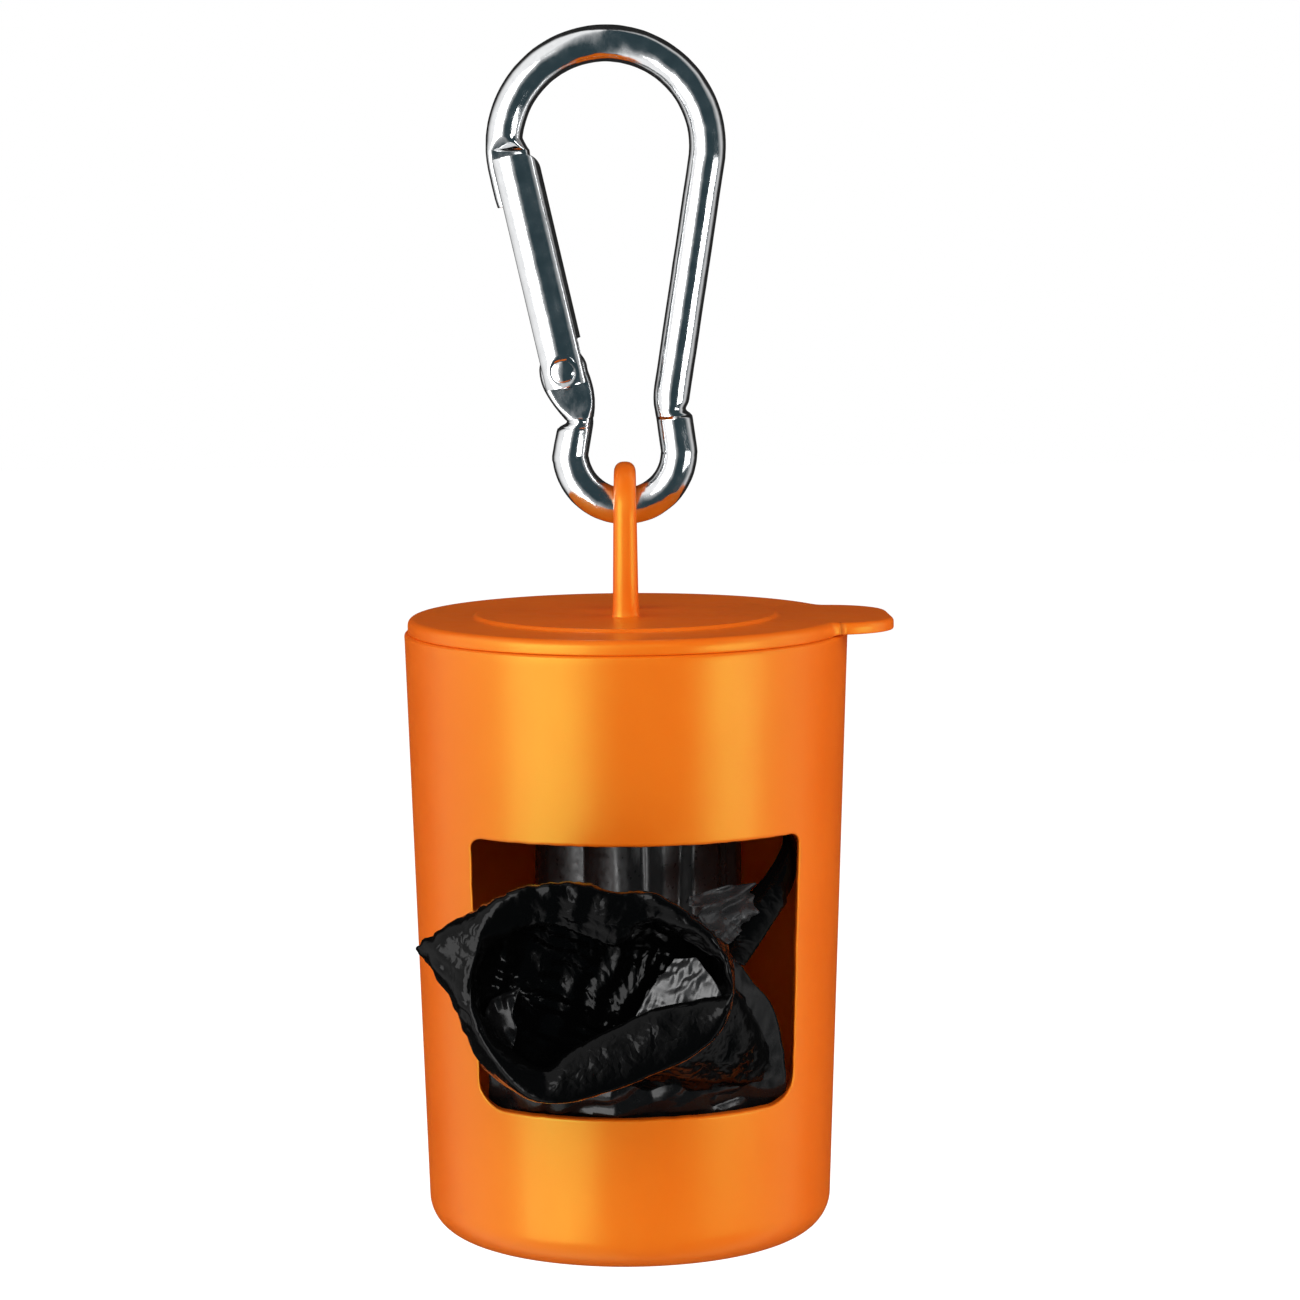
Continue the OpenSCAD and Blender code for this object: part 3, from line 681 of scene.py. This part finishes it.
def loop_points():
    """The hanging loop: a drafted bar bent over an arch, its section a rounded square."""
    arch_z = LOOP_H + DISC_H - LOOP_D / 2 - LOOP_LEG
    foot_z, foot_flare = -0.3, 0.1
    foot_half, top_half = 1.30, 1.10
    power = 2 / 2.5
    legs = [foot_z, 0.3, DISC_H, 0.5, 0.7, 1.0] + [mix(1.0, arch_z, i / 6) for i in range(1, 6)]
    path = [(Vector((0, -LOOP_LEG, z)), 0.0) for z in legs]
    for i in range(25):
        a = 180 * i / 24
        path.append((Vector((0, -LOOP_LEG * cos(a), arch_z + LOOP_LEG * sin(a))), a))
    path += [(Vector((0, LOOP_LEG, z)), 180.0) for z in reversed(legs)]
    rings = []
    for centre, angle in path:
        share = max(0.0, min(1.0, centre.z / (LOOP_H + DISC_H)))
        flare = foot_flare * (1 - smooth((centre.z - DISC_H) / 0.55))
        half_x = mix(foot_half, top_half, share) + flare
        half_in = LOOP_D / 2 + flare
        inside = Vector((0, cos(angle), -sin(angle)))
        ring = []
        for k in range(40):
            c, s = polar(1, 9 * k)
            ring.append(centre + Vector((1, 0, 0)) * half_x * math.copysign(abs(c) ** power, c)
                        + inside * half_in * math.copysign(abs(s) ** power, s) + UP * LID_Z)
        rings.append(ring)
    return tube(rings)


dress(new_object("lid_moulding", *lid_points(), PLASTIC), "lid", "lid")


# ------------ carabiner
CLIP_SPAN = 30.75
CLIP_LEAN = 3.1
TOP_R = 10.2
BOW_R = 5.5
WIRE_R = 1.85
NECK_H = 3.95
NECK_DENT = 0.55
TANG_NECK_H = 3.4
TANG_DENT = 1.0
FLAT = 1.05
PIVOT_UP = 8.5
PIVOT_OUT = 5.65
GATE_R = 2.45
GATE_WALL = 0.55
GATE_SLIT = 2.5
GATE_TAIL = 1.5
GATE_INSET = 0.9
GATE_PAST = 1.2
GATE_ROUND = 1.9
TANG_R = 2.45
TONGUE_L = 3.6
DIMPLE = 0.35
RIVET_D = 1.7
DENT = 0.03
FINE_DENT = 0.012
ARC_INSIDE = TOP_R - WIRE_R
TOP_X = -CLIP_SPAN * sin(CLIP_LEAN)
BOW_Z = -CLIP_SPAN * cos(CLIP_LEAN) - math.sqrt(ARC_INSIDE ** 2 - TOP_X ** 2)
PIVOT_RISE = CLIP_SPAN - PIVOT_UP
PIVOT_FAR = math.hypot(PIVOT_OUT, PIVOT_RISE)
GATE_LINE_R = TOP_R - GATE_INSET
GATE_TILT = math.degrees(math.asin(GATE_LINE_R / PIVOT_FAR) - math.atan2(PIVOT_OUT, PIVOT_RISE))
NOSE_T = math.sqrt(PIVOT_FAR ** 2 - GATE_LINE_R ** 2)
GATE_TOP = NOSE_T + GATE_PAST

ON_CLIP = Matrix.Translation((0, 0, BOW_Z)) @ rotation(-CLIP_LEAN, "Y")
ON_GATE = ON_CLIP @ Matrix.Translation((-PIVOT_OUT, 0, PIVOT_UP)) @ rotation(-GATE_TILT, "Y")


def wire_stations():
    """Stations of the bent wire: [x, z, angle of its inner side, half width, half thickness]."""
    gate_in = GATE_R - GATE_WALL
    tongue_in, tongue_out = gate_in - 0.25, -GATE_INSET - WIRE_R
    tongue_w, tongue_mid = (tongue_in - tongue_out) / 2, (tongue_in + tongue_out) / 2
    tip_r = 1.6
    nose_flat = asin((GATE_TOP + 0.2 - NOSE_T) / ARC_INSIDE)
    ramp_a = 9
    nose_a = 180 + GATE_TILT
    tongue_a = 360 + GATE_TILT
    turn_x, turn_z = polar(1, GATE_TILT)

    def tongue_point(along):
        return [-PIVOT_OUT + tongue_mid * turn_x - along * turn_z,
                PIVOT_UP + tongue_mid * turn_z + along * turn_x]

    def arc_station(a):
        share = min(1, max(0, (a - nose_flat) / ramp_a))
        x, z = polar(TOP_R - (tongue_mid + GATE_INSET) * (1 - share), nose_a - a)
        return [x, CLIP_SPAN + z, nose_a - a + 180, mix(tongue_w, WIRE_R, share), mix(FLAT, WIRE_R, share)]

    def between(side, inside, outside, z, thick):
        """A station between two edges, on the spine's side of the hook (1) or on the gate's (-1)."""
        return [side * (inside + outside) / 2, z, 90 + 90 * side, (outside - inside) / 2, thick]

    out = [[*tongue_point(NOSE_T - TONGUE_L + tip_r * (1 - sin(a))), tongue_a,
            mix(tongue_w - tip_r, tongue_w, sin(a)), FLAT] for a in (2, 8, 19, 30, 41, 52, 63, 74)]
    out += [[*tongue_point(NOSE_T - (TONGUE_L - tip_r) * (1 - s)), tongue_a, tongue_w, FLAT]
            for s in (0.15, 0.7)]
    out += [arc_station(2)]
    out += [arc_station(nose_flat + a) for a in (0, 1.5, 3, 4.5, 6, 7.5)]
    foot_x, foot_z = BOW_R - 0.4, NECK_H + 1.6
    drop = CLIP_SPAN - foot_z
    spine_tilt = math.degrees(math.asin(TOP_R / math.hypot(foot_x, drop)) - math.atan2(foot_x, drop))
    steps = 48
    out += [arc_station(mix(nose_flat + ramp_a, nose_a + spine_tilt, i / steps)) for i in range(steps + 1)]
    start_x, start_z = polar(TOP_R, -spine_tilt)
    start_z += CLIP_SPAN
    out += [[mix(start_x, foot_x, s), mix(start_z, foot_z, s), 180 - spine_tilt, WIRE_R, WIRE_R]
            for s in (0.15, 0.3, 0.45, 0.6, 0.75, 0.87, 0.95, 1)]
    dents = [(0.75, 0.25), (0.5, 0.5), (0.25, 0.8), (0.1, 0.96), (0, 1), (-0.1, 0.96), (-0.2, 0.85),
             (-0.32, 0.6), (-0.45, 0.35), (-0.65, 0.15), (-0.95, 0.04)]
    bow_inside = BOW_R - WIRE_R
    foot_inside = foot_x - WIRE_R / cos(spine_tilt)
    for rise, depth in dents:
        inside = mix(foot_inside, bow_inside, smooth((1.6 - rise) / (1.6 + NECK_H)))
        out.append(between(1, inside, inside + 2 * WIRE_R - NECK_DENT * depth, NECK_H + rise, WIRE_R))
    out += [[*polar(BOW_R, a), a + 180, WIRE_R, WIRE_R] for a in [-180 * i / 36 for i in range(37)]]
    neck_inside = bow_inside - 0.7
    for rise, depth in reversed(dents[2:]):
        inside = mix(bow_inside, neck_inside, smooth(1 + rise / TANG_NECK_H))
        out.append(between(-1, inside, inside + 2 * WIRE_R - TANG_DENT * depth, TANG_NECK_H + rise, WIRE_R))
    neck_outside = neck_inside + 2 * WIRE_R - TANG_DENT
    swing_r = math.hypot(GATE_R, GATE_TAIL) + 0.05
    flat_from = (PIVOT_UP - swing_r - TANG_NECK_H) / (PIVOT_UP - TANG_NECK_H)
    shares = [s * flat_from for s in (0.14, 0.28, 0.42, 0.56, 0.7, 0.84, 1)]
    shares += [mix(flat_from, 1, s) for s in (0.24, 0.48, 0.74, 1)]
    for s in shares:
        inside = mix(neck_inside, PIVOT_OUT - TANG_R, s) - 0.4 * sin(180 * s)
        outside = mix(neck_outside, PIVOT_OUT + TANG_R, sin(90 * s))
        thick = mix(WIRE_R, FLAT, sin(90 * s / flat_from)) if s < flat_from else FLAT
        out.append(between(-1, inside, outside, mix(TANG_NECK_H, PIVOT_UP, s), thick))
    out += [[-PIVOT_OUT, PIVOT_UP + TANG_R * sin(a), 0, TANG_R * cos(a), FLAT]
            for a in (12, 24, 36, 48, 60, 70, 79, 86)]
    return out


def wire_ring(station):
    """A round section whose faces are pressed flat, with the flat's edges slightly rounded."""
    x, z, angle, half_w, half_t = station
    sides, soft = 64, 0.1
    ring = []
    for k in range(sides):
        c, s = polar(1, 360 * k / sides)
        y = WIRE_R * s
        if half_t < WIRE_R - 1e-6:
            over = abs(y) - half_t
            blend = 0.5 * (over + math.sqrt(over * over + soft * soft))
            y = math.copysign(max(abs(y) - blend, 0), y)
        across, up = polar(half_w * c, angle)
        ring.append(Vector((x + across, y, z + up)))
    return ring


def carabiner_points():
    """The whole wire, swept, with the small hammer marks that the press leaves on it."""
    stations = spline(wire_stations(), 2)
    rings = [wire_ring(s) for s in stations]
    centres = [sum(ring, Vector()) / len(ring) for ring in rings]
    out = []
    for ring, centre in zip(rings, centres):
        row = []
        for p in ring:
            dent = DENT * noise.noise(p * 0.55) + FINE_DENT * noise.noise(p * 1.9 + Vector((7, 1, 3)))
            row.append(ON_CLIP @ (p + (p - centre).normalized() * dent))
        out.append(row)
    return tube(out)


def gate_points():
    """Sheet rolled round a slit: the outer skin, cut to its rounded end and its cheeks."""
    slit = asin(GATE_SLIT / 2 / GATE_R)
    steps = 96
    angles = [mix(-180 + slit, 180 - slit, i / steps) for i in range(steps + 1)]
    relief_half, relief_top = FLAT + 0.25, TANG_R + 0.5
    relief_rows = 15
    heights = [mix(-GATE_TAIL, relief_top, i / relief_rows) for i in range(relief_rows + 1)]
    heights += [mix(relief_top, GATE_TOP - GATE_ROUND, i / 24) for i in range(1, 25)]
    heights += [mix(GATE_TOP - GATE_ROUND, GATE_TOP, i / 10) for i in range(1, 11)]

    def top_at(lateral):
        over = lateral - (GATE_R - GATE_ROUND)
        if over <= 0:
            return GATE_TOP
        return GATE_TOP - GATE_ROUND + math.sqrt(max(GATE_ROUND ** 2 - over ** 2, 0))

    rows = []
    start = GATE_TOP - GATE_ROUND - 3
    for height in heights:
        row = []
        for a in angles:
            x = GATE_R * cos(a)
            z = height if height < start else mix(start, top_at(x), (height - start) / (GATE_TOP - start))
            dimple = DIMPLE * (1 - smooth((math.hypot(x, z) - 1.0) / 0.55))
            row.append(Vector((*polar(GATE_R - dimple, a), z)))
        rows.append(row)

    def kept(row, column):
        middle = (rows[row][column] + rows[row + 1][column + 1]) / 2
        return row >= relief_rows or abs(middle.y) > relief_half

    patches = Patches()
    patches.grid(rows, keep=kept)
    return [ON_GATE @ p for p in patches.points], patches.faces


def rivet_points():
    """A shank with a domed head at each end, sunk in the gate's dimples."""
    head_y, shank_r = GATE_R - DIMPLE, RIVET_D / 2
    half = [(0.01, head_y + 0.25), (0.45, head_y + 0.24), (0.85, head_y + 0.17), (1.1, head_y + 0.06),
            (1.2, head_y - 0.05), (1.15, head_y - 0.18), (shank_r, head_y - 0.25), (shank_r, 0.3)]
    rings = []
    for r, y in half + [(r, -y) for r, y in reversed(half)]:
        turned = [polar(r, 15 * k) for k in range(24)]
        rings.append([ON_GATE @ Vector((x, y, z)) for x, z in turned])
    return tube(rings)


def spring_points():
    """A bowed wire inside the gate, from beside the rivet up to the gate's skin."""
    wire_r, top, steps = 0.3, 14, 32
    start = RIVET_D / 2 + 0.45 + 0.2
    lean = GATE_R - GATE_WALL - wire_r - 0.1
    rings = []
    for i in range(steps + 1):
        s = i / steps
        centre = Vector((mix(-0.5, lean, sin(90 * s)), 0, mix(start, top, s)))
        rings.append([ON_GATE @ (centre + Vector((*polar(wire_r, 30 * k), 0))) for k in range(12)])
    return tube(rings)


def thicken(obj, thickness, edge):
    """Give a skin its sheet's thickness, inwards, and a small round on its cut edges."""
    solid = obj.modifiers.new("sheet", "SOLIDIFY")
    solid.thickness = thickness * MM
    solid.offset = -1
    solid.use_even_offset = True
    rounded = obj.modifiers.new("edges", "BEVEL")
    rounded.width = edge * MM
    rounded.segments = 2
    rounded.limit_method = "ANGLE"
    rounded.angle_limit = math.radians(50)
    apply_modifiers(obj)


def apply_modifiers(obj):
    bpy.context.view_layer.update()
    done = bpy.data.meshes.new_from_object(obj.evaluated_get(bpy.context.evaluated_depsgraph_get()))
    obj.modifiers.clear()
    obj.data = done
    obj.data.shade_smooth()


wire = new_object("carabiner_wire", *carabiner_points(), METAL)
dress(wire, "carabiner", "carabiner_body")
gate = new_object("rolled_gate", *gate_points(), METAL)
thicken(gate, GATE_WALL, 0.12)
dress(gate, "gate", "carabiner_gate")
dress(new_object("rivet", *rivet_points(), METAL), "gate", "gate_rivet")
dress(new_object("spring_wire", *spring_points(), STEEL), "gate", "gate_spring")

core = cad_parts["roll_core"]
core.data.materials.clear()
core.data.materials.append(CARD)


# ------------ bags
ROLL_X = 1
ROLL_Y = 1.5
ROLL_R = 10.9
ROLL_LOW = FLOOR + 0.3
ROLL_L = 55.5
ROLL_SIDES = 240
CORE_R = 6.5
FILM_Y = ROLL_Y - ROLL_R - 0.6
BUNCH_X = -4.6
BUNCH_Z = WINDOW_SILL + 14.9
BUNCH_HALF_W = 14.85
BUNCH_HALF_H = 10.2
BUNCH_OUT = 12.5
LIP_OUT = 1.2
SIDE_SHARE = 50
SIDE_BACK = 2.4
FILM_T = 0.05
# How far the film stays off the wall, the window's sides, its sill and the roll. The window lies
# in front of WINDOW_Y.
WALL_GAP = 0.3
SIDE_GAP = 0.35
SILL_GAP = 0.25
ROLL_GAP = 0.2
WINDOW_Y = -12.5

# The pulled bag's outlines: a row of places across and a row of places up, from the right over the top,
# in shares of 100. Those of the mouth are shares of the bunch's half width and half height; those in the
# window are shares of its half width and of its height.
RIM = ((98, 96, 91, 72, 47, 26, 4, -16, -35, -53, -66, -71, -66, -53, -31, -7, 26, 47, 72, 89),
       (0, 26, 47, 76, 99, 97, 106, 107, 102, 87, 49, 10, -24, -59, -92, -95, -81, -69, -52, -31))
EAR = ((100, 98, 92, 73, 47, 26, 4, -16, -39, -67, -100, -100, -84, -65, -40, -8, 26, 48, 74, 92),
       (0, 26, 45, 69, 89, 88, 94, 95, 88, 72, 45, 32, -8, -61, -94, -100, -86, -73, -56, -33))
# The upper lip's second layer, and the edge of the lower lip where it folds back in.
FOLD = ((96, 93, 86, 69, 47, 28, 11, -7, -28, -47, -61, -65, -60, -46, -23, -9, 9, 26, 47, 74),
        (4, 20, 35, 53, 69, 50, 56, 67, 67, 57, 37, 8, -20, -49, -69, -55, -40, -29, -14, -6))
BODY = ((98, 96, 88, 70, 46, 24, 1, -23, -43, -62, -73, -71, -65, -54, -36, -8, 24, 48, 71, 90),
        (2, 20, 33, 49, 63, 65, 63, 57, 45, 27, 6, -16, -41, -69, -88, -96, -88, -75, -53, -25))
SILL = ((63, 60, 51, 35, 14, -6, -28, -49, -65, -77, -81, -83, -81, -75, -60, -31, 9, 44, 69, 73),
        (52, 58, 62, 61, 58, 55, 50, 45, 41, 36, 31, 25, 19, 14, 11, 11, 13, 17, 25, 39))
ROOT = ((70, 60, 51, 36, 15, -6, -28, -46, -60, -70, -77, -78, -75, -68, -46, -12, 28, 71, 90, 83),
        (43, 50, 53, 50, 43, 36, 29, 24, 20, 17, 14, 11, 8, 6, 4, 4, 4, 5, 12, 29))

# The rings from the roll to the bottom of the mouth: an outline, its size, and how far out it is. That
# is y in the window, where any y behind FILM_Y means on the roll's front, and then a share of BUNCH_OUT.
BAG_SPAN = (
    (ROOT, 0.8, -7.0), (ROOT, 0.88, FILM_Y), (ROOT, 1, -15.6), (SILL, 1, -21.5), (BODY, 1, 0.25),
    (EAR, 1, 0.55), (RIM, 1, 0.9), (FOLD, 1, 0.8), (RIM, 0.86, 0.55), (RIM, 0.74, 0.36), (RIM, 0.5, 0.22),
    (RIM, 0.2, 0.2), (RIM, 0.03, 0.3))
# The bottom of the mouth lies low, behind the folded lip.
DEEP = Vector((4.5, 0, -7.0))


def roll_front(x):
    """y of the film that lies on the roll's front, at a place across it."""
    film_r, least = ROLL_R + 0.35, 4
    return ROLL_Y - math.sqrt(max(film_r ** 2 - (x - ROLL_X) ** 2, least))


def mouth_point(across, up, size, out):
    lift = size * up / 100
    drift = DEEP * smooth((0.9 - size) / 0.8)
    return Vector((BUNCH_X + size * across / 100 * BUNCH_HALF_W + drift.x,
                   -RIM_R - out * BUNCH_OUT - LIP_OUT * abs(lift),
                   BASE_Z + BUNCH_Z + lift * BUNCH_HALF_H + drift.z))


def window_point(across, up, size, y):
    x = size * across / 100 * WINDOW_W / 2
    if y > FILM_Y:
        y = roll_front(x)
    elif y < FILM_Y:
        y += SIDE_BACK * smooth((abs(across) - SIDE_SHARE) / (100 - SIDE_SHARE))
    return Vector((x, y, BASE_Z + WINDOW_SILL + up / 100 * WINDOW_H))


def bag_rings():
    rings = []
    for outline, size, out in BAG_SPAN:
        place = window_point if out < -1 else mouth_point
        rings.append([place(across, up, size, out) for across, up in zip(*outline)])
    return rings


def lofted(rings, around, along):
    """A dense grid through closed rings of points, smooth both ways."""
    fine = []
    for ring in rings:
        stations = [list(p) for p in ring]
        loop = spline(stations[-2:] + stations + stations[:3], around)
        fine.append(loop[2 * around:-2 * around - 1])
    columns = [spline([ring[k] for ring in fine], along) for k in range(len(fine[0]))]
    return [[Vector(column[r]) for column in columns] for r in range(len(columns[0]))]


# noise_vector starts from the clock unless it has a seed.
noise.seed_set(11)

DIRECTIONS = [Vector(v).normalized() for v in (
    (1, 0.3, 0.4), (-0.5, 0.2, 1), (0.8, -0.4, -0.7), (0.2, 0.9, 0.5), (-0.9, 0.5, 0.3), (0.4, -0.2, 0.95),
    (0.95, 0.1, -0.25), (-0.3, -0.8, 0.6))]


def crease(p, seed, waves):
    """Height of sharp folds that cross each other at p, from waves of a (length, depth) each.

    They are triangle waves in wandering directions, which fade in and out from place to place.
    """
    wander, wander_size, fade, fade_size, phase = 0.55, 2.2, 1.3, 1.7, 0.37
    shift = Vector((seed, seed * 0.7, -seed))
    total = 0.0
    for i, (length, depth) in enumerate(waves):
        warp = noise.noise_vector((p + shift * (i + 1)) / (length * wander_size)) * length * wander
        direction = DIRECTIONS[(seed + i) % len(DIRECTIONS)]
        along = (p + warp).dot(direction) / length + phase * i
        wave = 2 * abs(2 * (along - math.floor(along + 0.5))) - 1
        mask = smooth(0.5 + fade * noise.noise((p - shift * (i + 2)) / (length * fade_size)))
        total += depth * wave * mask
    return total


def keep_clear(obj):
    """Hold the film off the roll, the window's edges and the canister's wall."""
    side, sill, roll_r = WINDOW_W / 2 - SIDE_GAP, BASE_Z + WINDOW_SILL + SILL_GAP, ROLL_R + ROLL_GAP
    for vertex in obj.data.vertices:
        p = vertex.co / MM
        out = math.hypot(p.x, p.y)
        inside = wall_r(p.z - BASE_Z) - WALL - WALL_GAP
        if inside < out < RIM_R and p.y < WINDOW_Y:
            p.x = max(-side, min(side, p.x))
            p.z = max(sill, p.z)
        elif inside < out < RIM_R:
            p.x *= inside / out
        off = Vector((p.x - ROLL_X, p.y - ROLL_Y, 0))
        if off.length < roll_r:
            p += off.normalized() * (roll_r - off.length)
        vertex.co = p * MM
    obj.data.update()


def finish_film(obj):
    """Hold the film clear, give it its thickness and hide the CAD bag that it stands for."""
    keep_clear(obj)
    sheet = obj.modifiers.new("film", "SOLIDIFY")
    sheet.thickness = FILM_T * MM
    sheet.offset = 0
    apply_modifiers(obj)
    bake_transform(obj)
    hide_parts("pulled_bag")


def lip_weight(p):
    """The folded lower lip is nearly smooth, the mouth's rim a little calmer, the rest crumpled."""
    lip_crumple, rim_crumple = 0.2, 0.75
    height = p.z - BASE_Z - BUNCH_Z
    across = (p.x - BUNCH_X) / BUNCH_HALF_W
    front = smooth((-p.y - 31) / 2)
    lower = smooth(0.5 + (across * 2.5 - 1.2 - height) / 3)
    rim = smooth((math.hypot(across, height / BUNCH_HALF_H) - 0.6) / 0.25) * smooth((-p.y - 24) / 3)
    return mix(mix(1.0, rim_crumple, rim), lip_crumple, lower * front)


def crumpled(name, rows, closed, seed, waves, material, weight=lambda p: 1):
    """A film through rows of points, pushed along its normals into folds that a weight can calm."""
    patches = Patches()
    patches.grid(rows, closed)
    obj = new_object(name, patches.points, patches.faces, material)
    vertices = obj.data.vertices
    moves = [v.normal * (crease(v.co / MM, seed, waves) * weight(v.co / MM)) for v in vertices]
    for vertex, move in zip(vertices, moves):
        vertex.co += move * MM
    obj.data.update()
    finish_film(obj)
    return obj


def ribbon(name, left, right, columns, rows, puff, seed, waves, material):
    """A crumpled film between two edge curves, each a list of places with heights above the base."""
    sides = [spline([[x, y, z + BASE_Z] for x, y, z in edge], rows) for edge in (left, right)]
    grid = []
    for a, b in zip(*sides):
        row = []
        for k in range(columns + 1):
            share = k / columns
            p = Vector(a).lerp(Vector(b), share)
            p.y -= puff * math.sin(math.pi * share)
            row.append(p)
        grid.append(row)
    return crumpled(name, grid, False, seed, waves, material)


STRAND = (
    [(12.4, 0.5, 46.5), (13.6, -5, 46.0), (15.6, -9.5, 42.0), (14.0, -12.0, 38.8), (11.6, -14.5, 36.4),
     (9.1, -17.0, 34.0), (8.4, -20.0, 32.6)],
    [(12.6, 0.5, 42.5), (14.9, -5, 42.6), (17.0, -9.0, 41.0), (16.6, -12.0, 36.9), (14.7, -14.5, 34.6),
     (13.2, -17.0, 32.6), (11.4, -20.0, 30.8)])
WEB = (
    [(13.0, -14.2, 37.8), (9.8, -18.0, 38.4), (6.0, -23.0, 38.2)],
    [(12.0, -16.2, 34.6), (10.6, -19.0, 33.4), (8.9, -22.6, 33.0)])
FAN = (
    [(10.2, -21.6, 31.8), (9.0, -22.4, 27.6), (7.0, -21.4, 22.4), (5.0, -19.6, 18.2), (4.0, -18.6, 14.6)],
    [(10.4, -21.4, 31.8), (12.6, -18.8, 28.6), (14.6, -16.8, 25.2), (15.7, -13.6, 18.0), (15.0, -11.4, 13.6)])
SILL_FILM = (
    [(-13.6, -18.4, 26.5), (-9.6, -21.4, 22.6), (-4, -22.4, 22.6), (1, -22.4, 23.6), (6, -21.8, 25.4),
     (11, -19.4, 26.6)],
    [(-13.6, -12.5, 14.5), (-9.4, -16.2, 13.6), (-3.4, -18.3, 13.2), (2.4, -18.5, 13.2), (8.0, -16.9, 13.6),
     (13.8, -12.4, 14.5)])
INNER = (
    [(0.6, -30.8, 27.6), (2.2, -30.6, 30.6), (4.6, -30.2, 33.6)],
    [(8.8, -33.0, 28.0), (8.9, -32.8, 30.8), (6.6, -31.4, 33.9)])
INNER_LEFT = (
    [(-10.6, -30.0, 31.0), (-13.0, -30.2, 29.6), (-13.5, -30.2, 27.8), (-12.4, -30.4, 25.0)],
    [(-10.2, -30.6, 31.0), (-10.9, -31.0, 28.6), (-10.5, -31.1, 27.0), (-11.0, -31.0, 24.8)])

# The bag's end is a loft from the roll through the window to the bottom of its mouth.
bunch = crumpled("pulled_bag_film", lofted(bag_rings(), 8, 10), True, 3,
                 [(5.5, 0.4), (2.7, 0.26), (1.5, 0.22), (0.9, 0.11)], FILM, weight=lip_weight)
strand = ribbon("film_strand", *STRAND, 14, 10, 0.9, 5, [(6, 0.15), (2.2, 0.05)], FILM)
# The web and the inner fold take the film whose lighter grey tone is painted light.
web = ribbon("film_web", *WEB, 24, 16, 0.3, 1, [(2.4, 0.8), (1.3, 0.45), (0.8, 0.15)], LIT_FILM)
# The fan, the sill film and the left inner fold take the film whose slightly lighter tone is painted half
# light.
fan = ribbon("film_fan", *FAN, 40, 16, 0.3, 4, [(5.0, 0.35), (2.4, 0.12), (1.2, 0.03)], HALF_LIT_FILM)
sill_film = ribbon("film_sill", *SILL_FILM, 30, 14, 0.2, 8, [(5.0, 0.7), (2.4, 0.35), (1.1, 0.1)], HALF_LIT_FILM)
inner = ribbon("film_inner_fold", *INNER, 60, 24, 0.1, 2, [(1.9, 0.16), (0.9, 0.1), (0.7, 0.05)], LIT_FILM)
inner_left = ribbon("film_inner_left", *INNER_LEFT, 16, 16, 0.1, 7, [(2.4, 0.3), (1.2, 0.15), (0.7, 0.05)],
                    HALF_LIT_FILM)


def on_roll(radius, angle, z):
    """A point round the roll's axis, at a height above the roll's lower end."""
    x, y = polar(radius, angle)
    return Vector((ROLL_X + x, ROLL_Y + y, BASE_Z + ROLL_LOW + z))


def core_ring(z):
    """The hole through the wound bags."""
    return [on_roll(CORE_R + 0.05, 360 * i / ROLL_SIDES, z) for i in range(ROLL_SIDES)]


def roll_points():
    """The wound bags: a wall that ends in a loose edge and has upright folds, and layered ends."""
    rows, layers, groove = 60, 11, 0.35
    wall = [[roll_wall(360 * i / ROLL_SIDES, ROLL_L * k / rows) for i in range(ROLL_SIDES)]
            for k in range(rows + 1)]
    patches = Patches()
    patches.grid(wall, closed=True)
    for z, side, edge in ((0, -1, wall[0]), (ROLL_L, 1, wall[-1])):
        hole = core_ring(z)
        rings = [edge]
        for k in range(1, 3 * layers):
            share = k / (3 * layers)
            height = BASE_Z + ROLL_LOW + z - side * (groove if k % 3 == 1 else 0)
            rings.append([Vector((mix(p.x, q.x, share), mix(p.y, q.y, share), height))
                          for p, q in zip(edge, hole)])
        patches.grid(rings + [hole], closed=True)
    patches.grid([core_ring(0), core_ring(ROLL_L)], closed=True)
    return patches.points, patches.faces


# Upright folds in the roll's outer layer: where each one starts, is deepest and ends round the
# roll, and its depth.
ROLL_FOLDS = ((-152, -128, -102, 1.7), (-96, -88, -86, 0.5), (-74, -62, -56, 0.7), (-40, -30, -22, 0.5),
              (10, 20, 26, 0.5), (66, 75, 82, 0.5), (140, 152, 160, 0.5))


def roll_wall(angle, z):
    """A point of the outer layer, which spirals in towards its loose edge and has the folds in it."""
    film_step, edge_angle, ripple = 0.35, -30, 0.12
    radius = ROLL_R - 0.1 - film_step * ((angle - edge_angle) % 360) / 360
    for start, deepest, end, depth in ROLL_FOLDS:
        turn = (angle - 2.0 * math.sin(z / 9 + start) + 180) % 360 - 180
        if start < turn < end:
            radius -= depth * min((turn - start) / (deepest - start), (end - turn) / (end - deepest))
    place = Vector((*polar(radius, angle), BASE_Z + ROLL_LOW + z))
    return on_roll(radius - ripple * (1 + crease(place, 4, [(7, 0.6), (3.3, 0.35)])), angle, z)


# The roll's film carries a lighter tone that is painted light.
dress(new_object("wound_bags", *roll_points(), LIT_ROLL_FILM), "roll", "bag_roll")
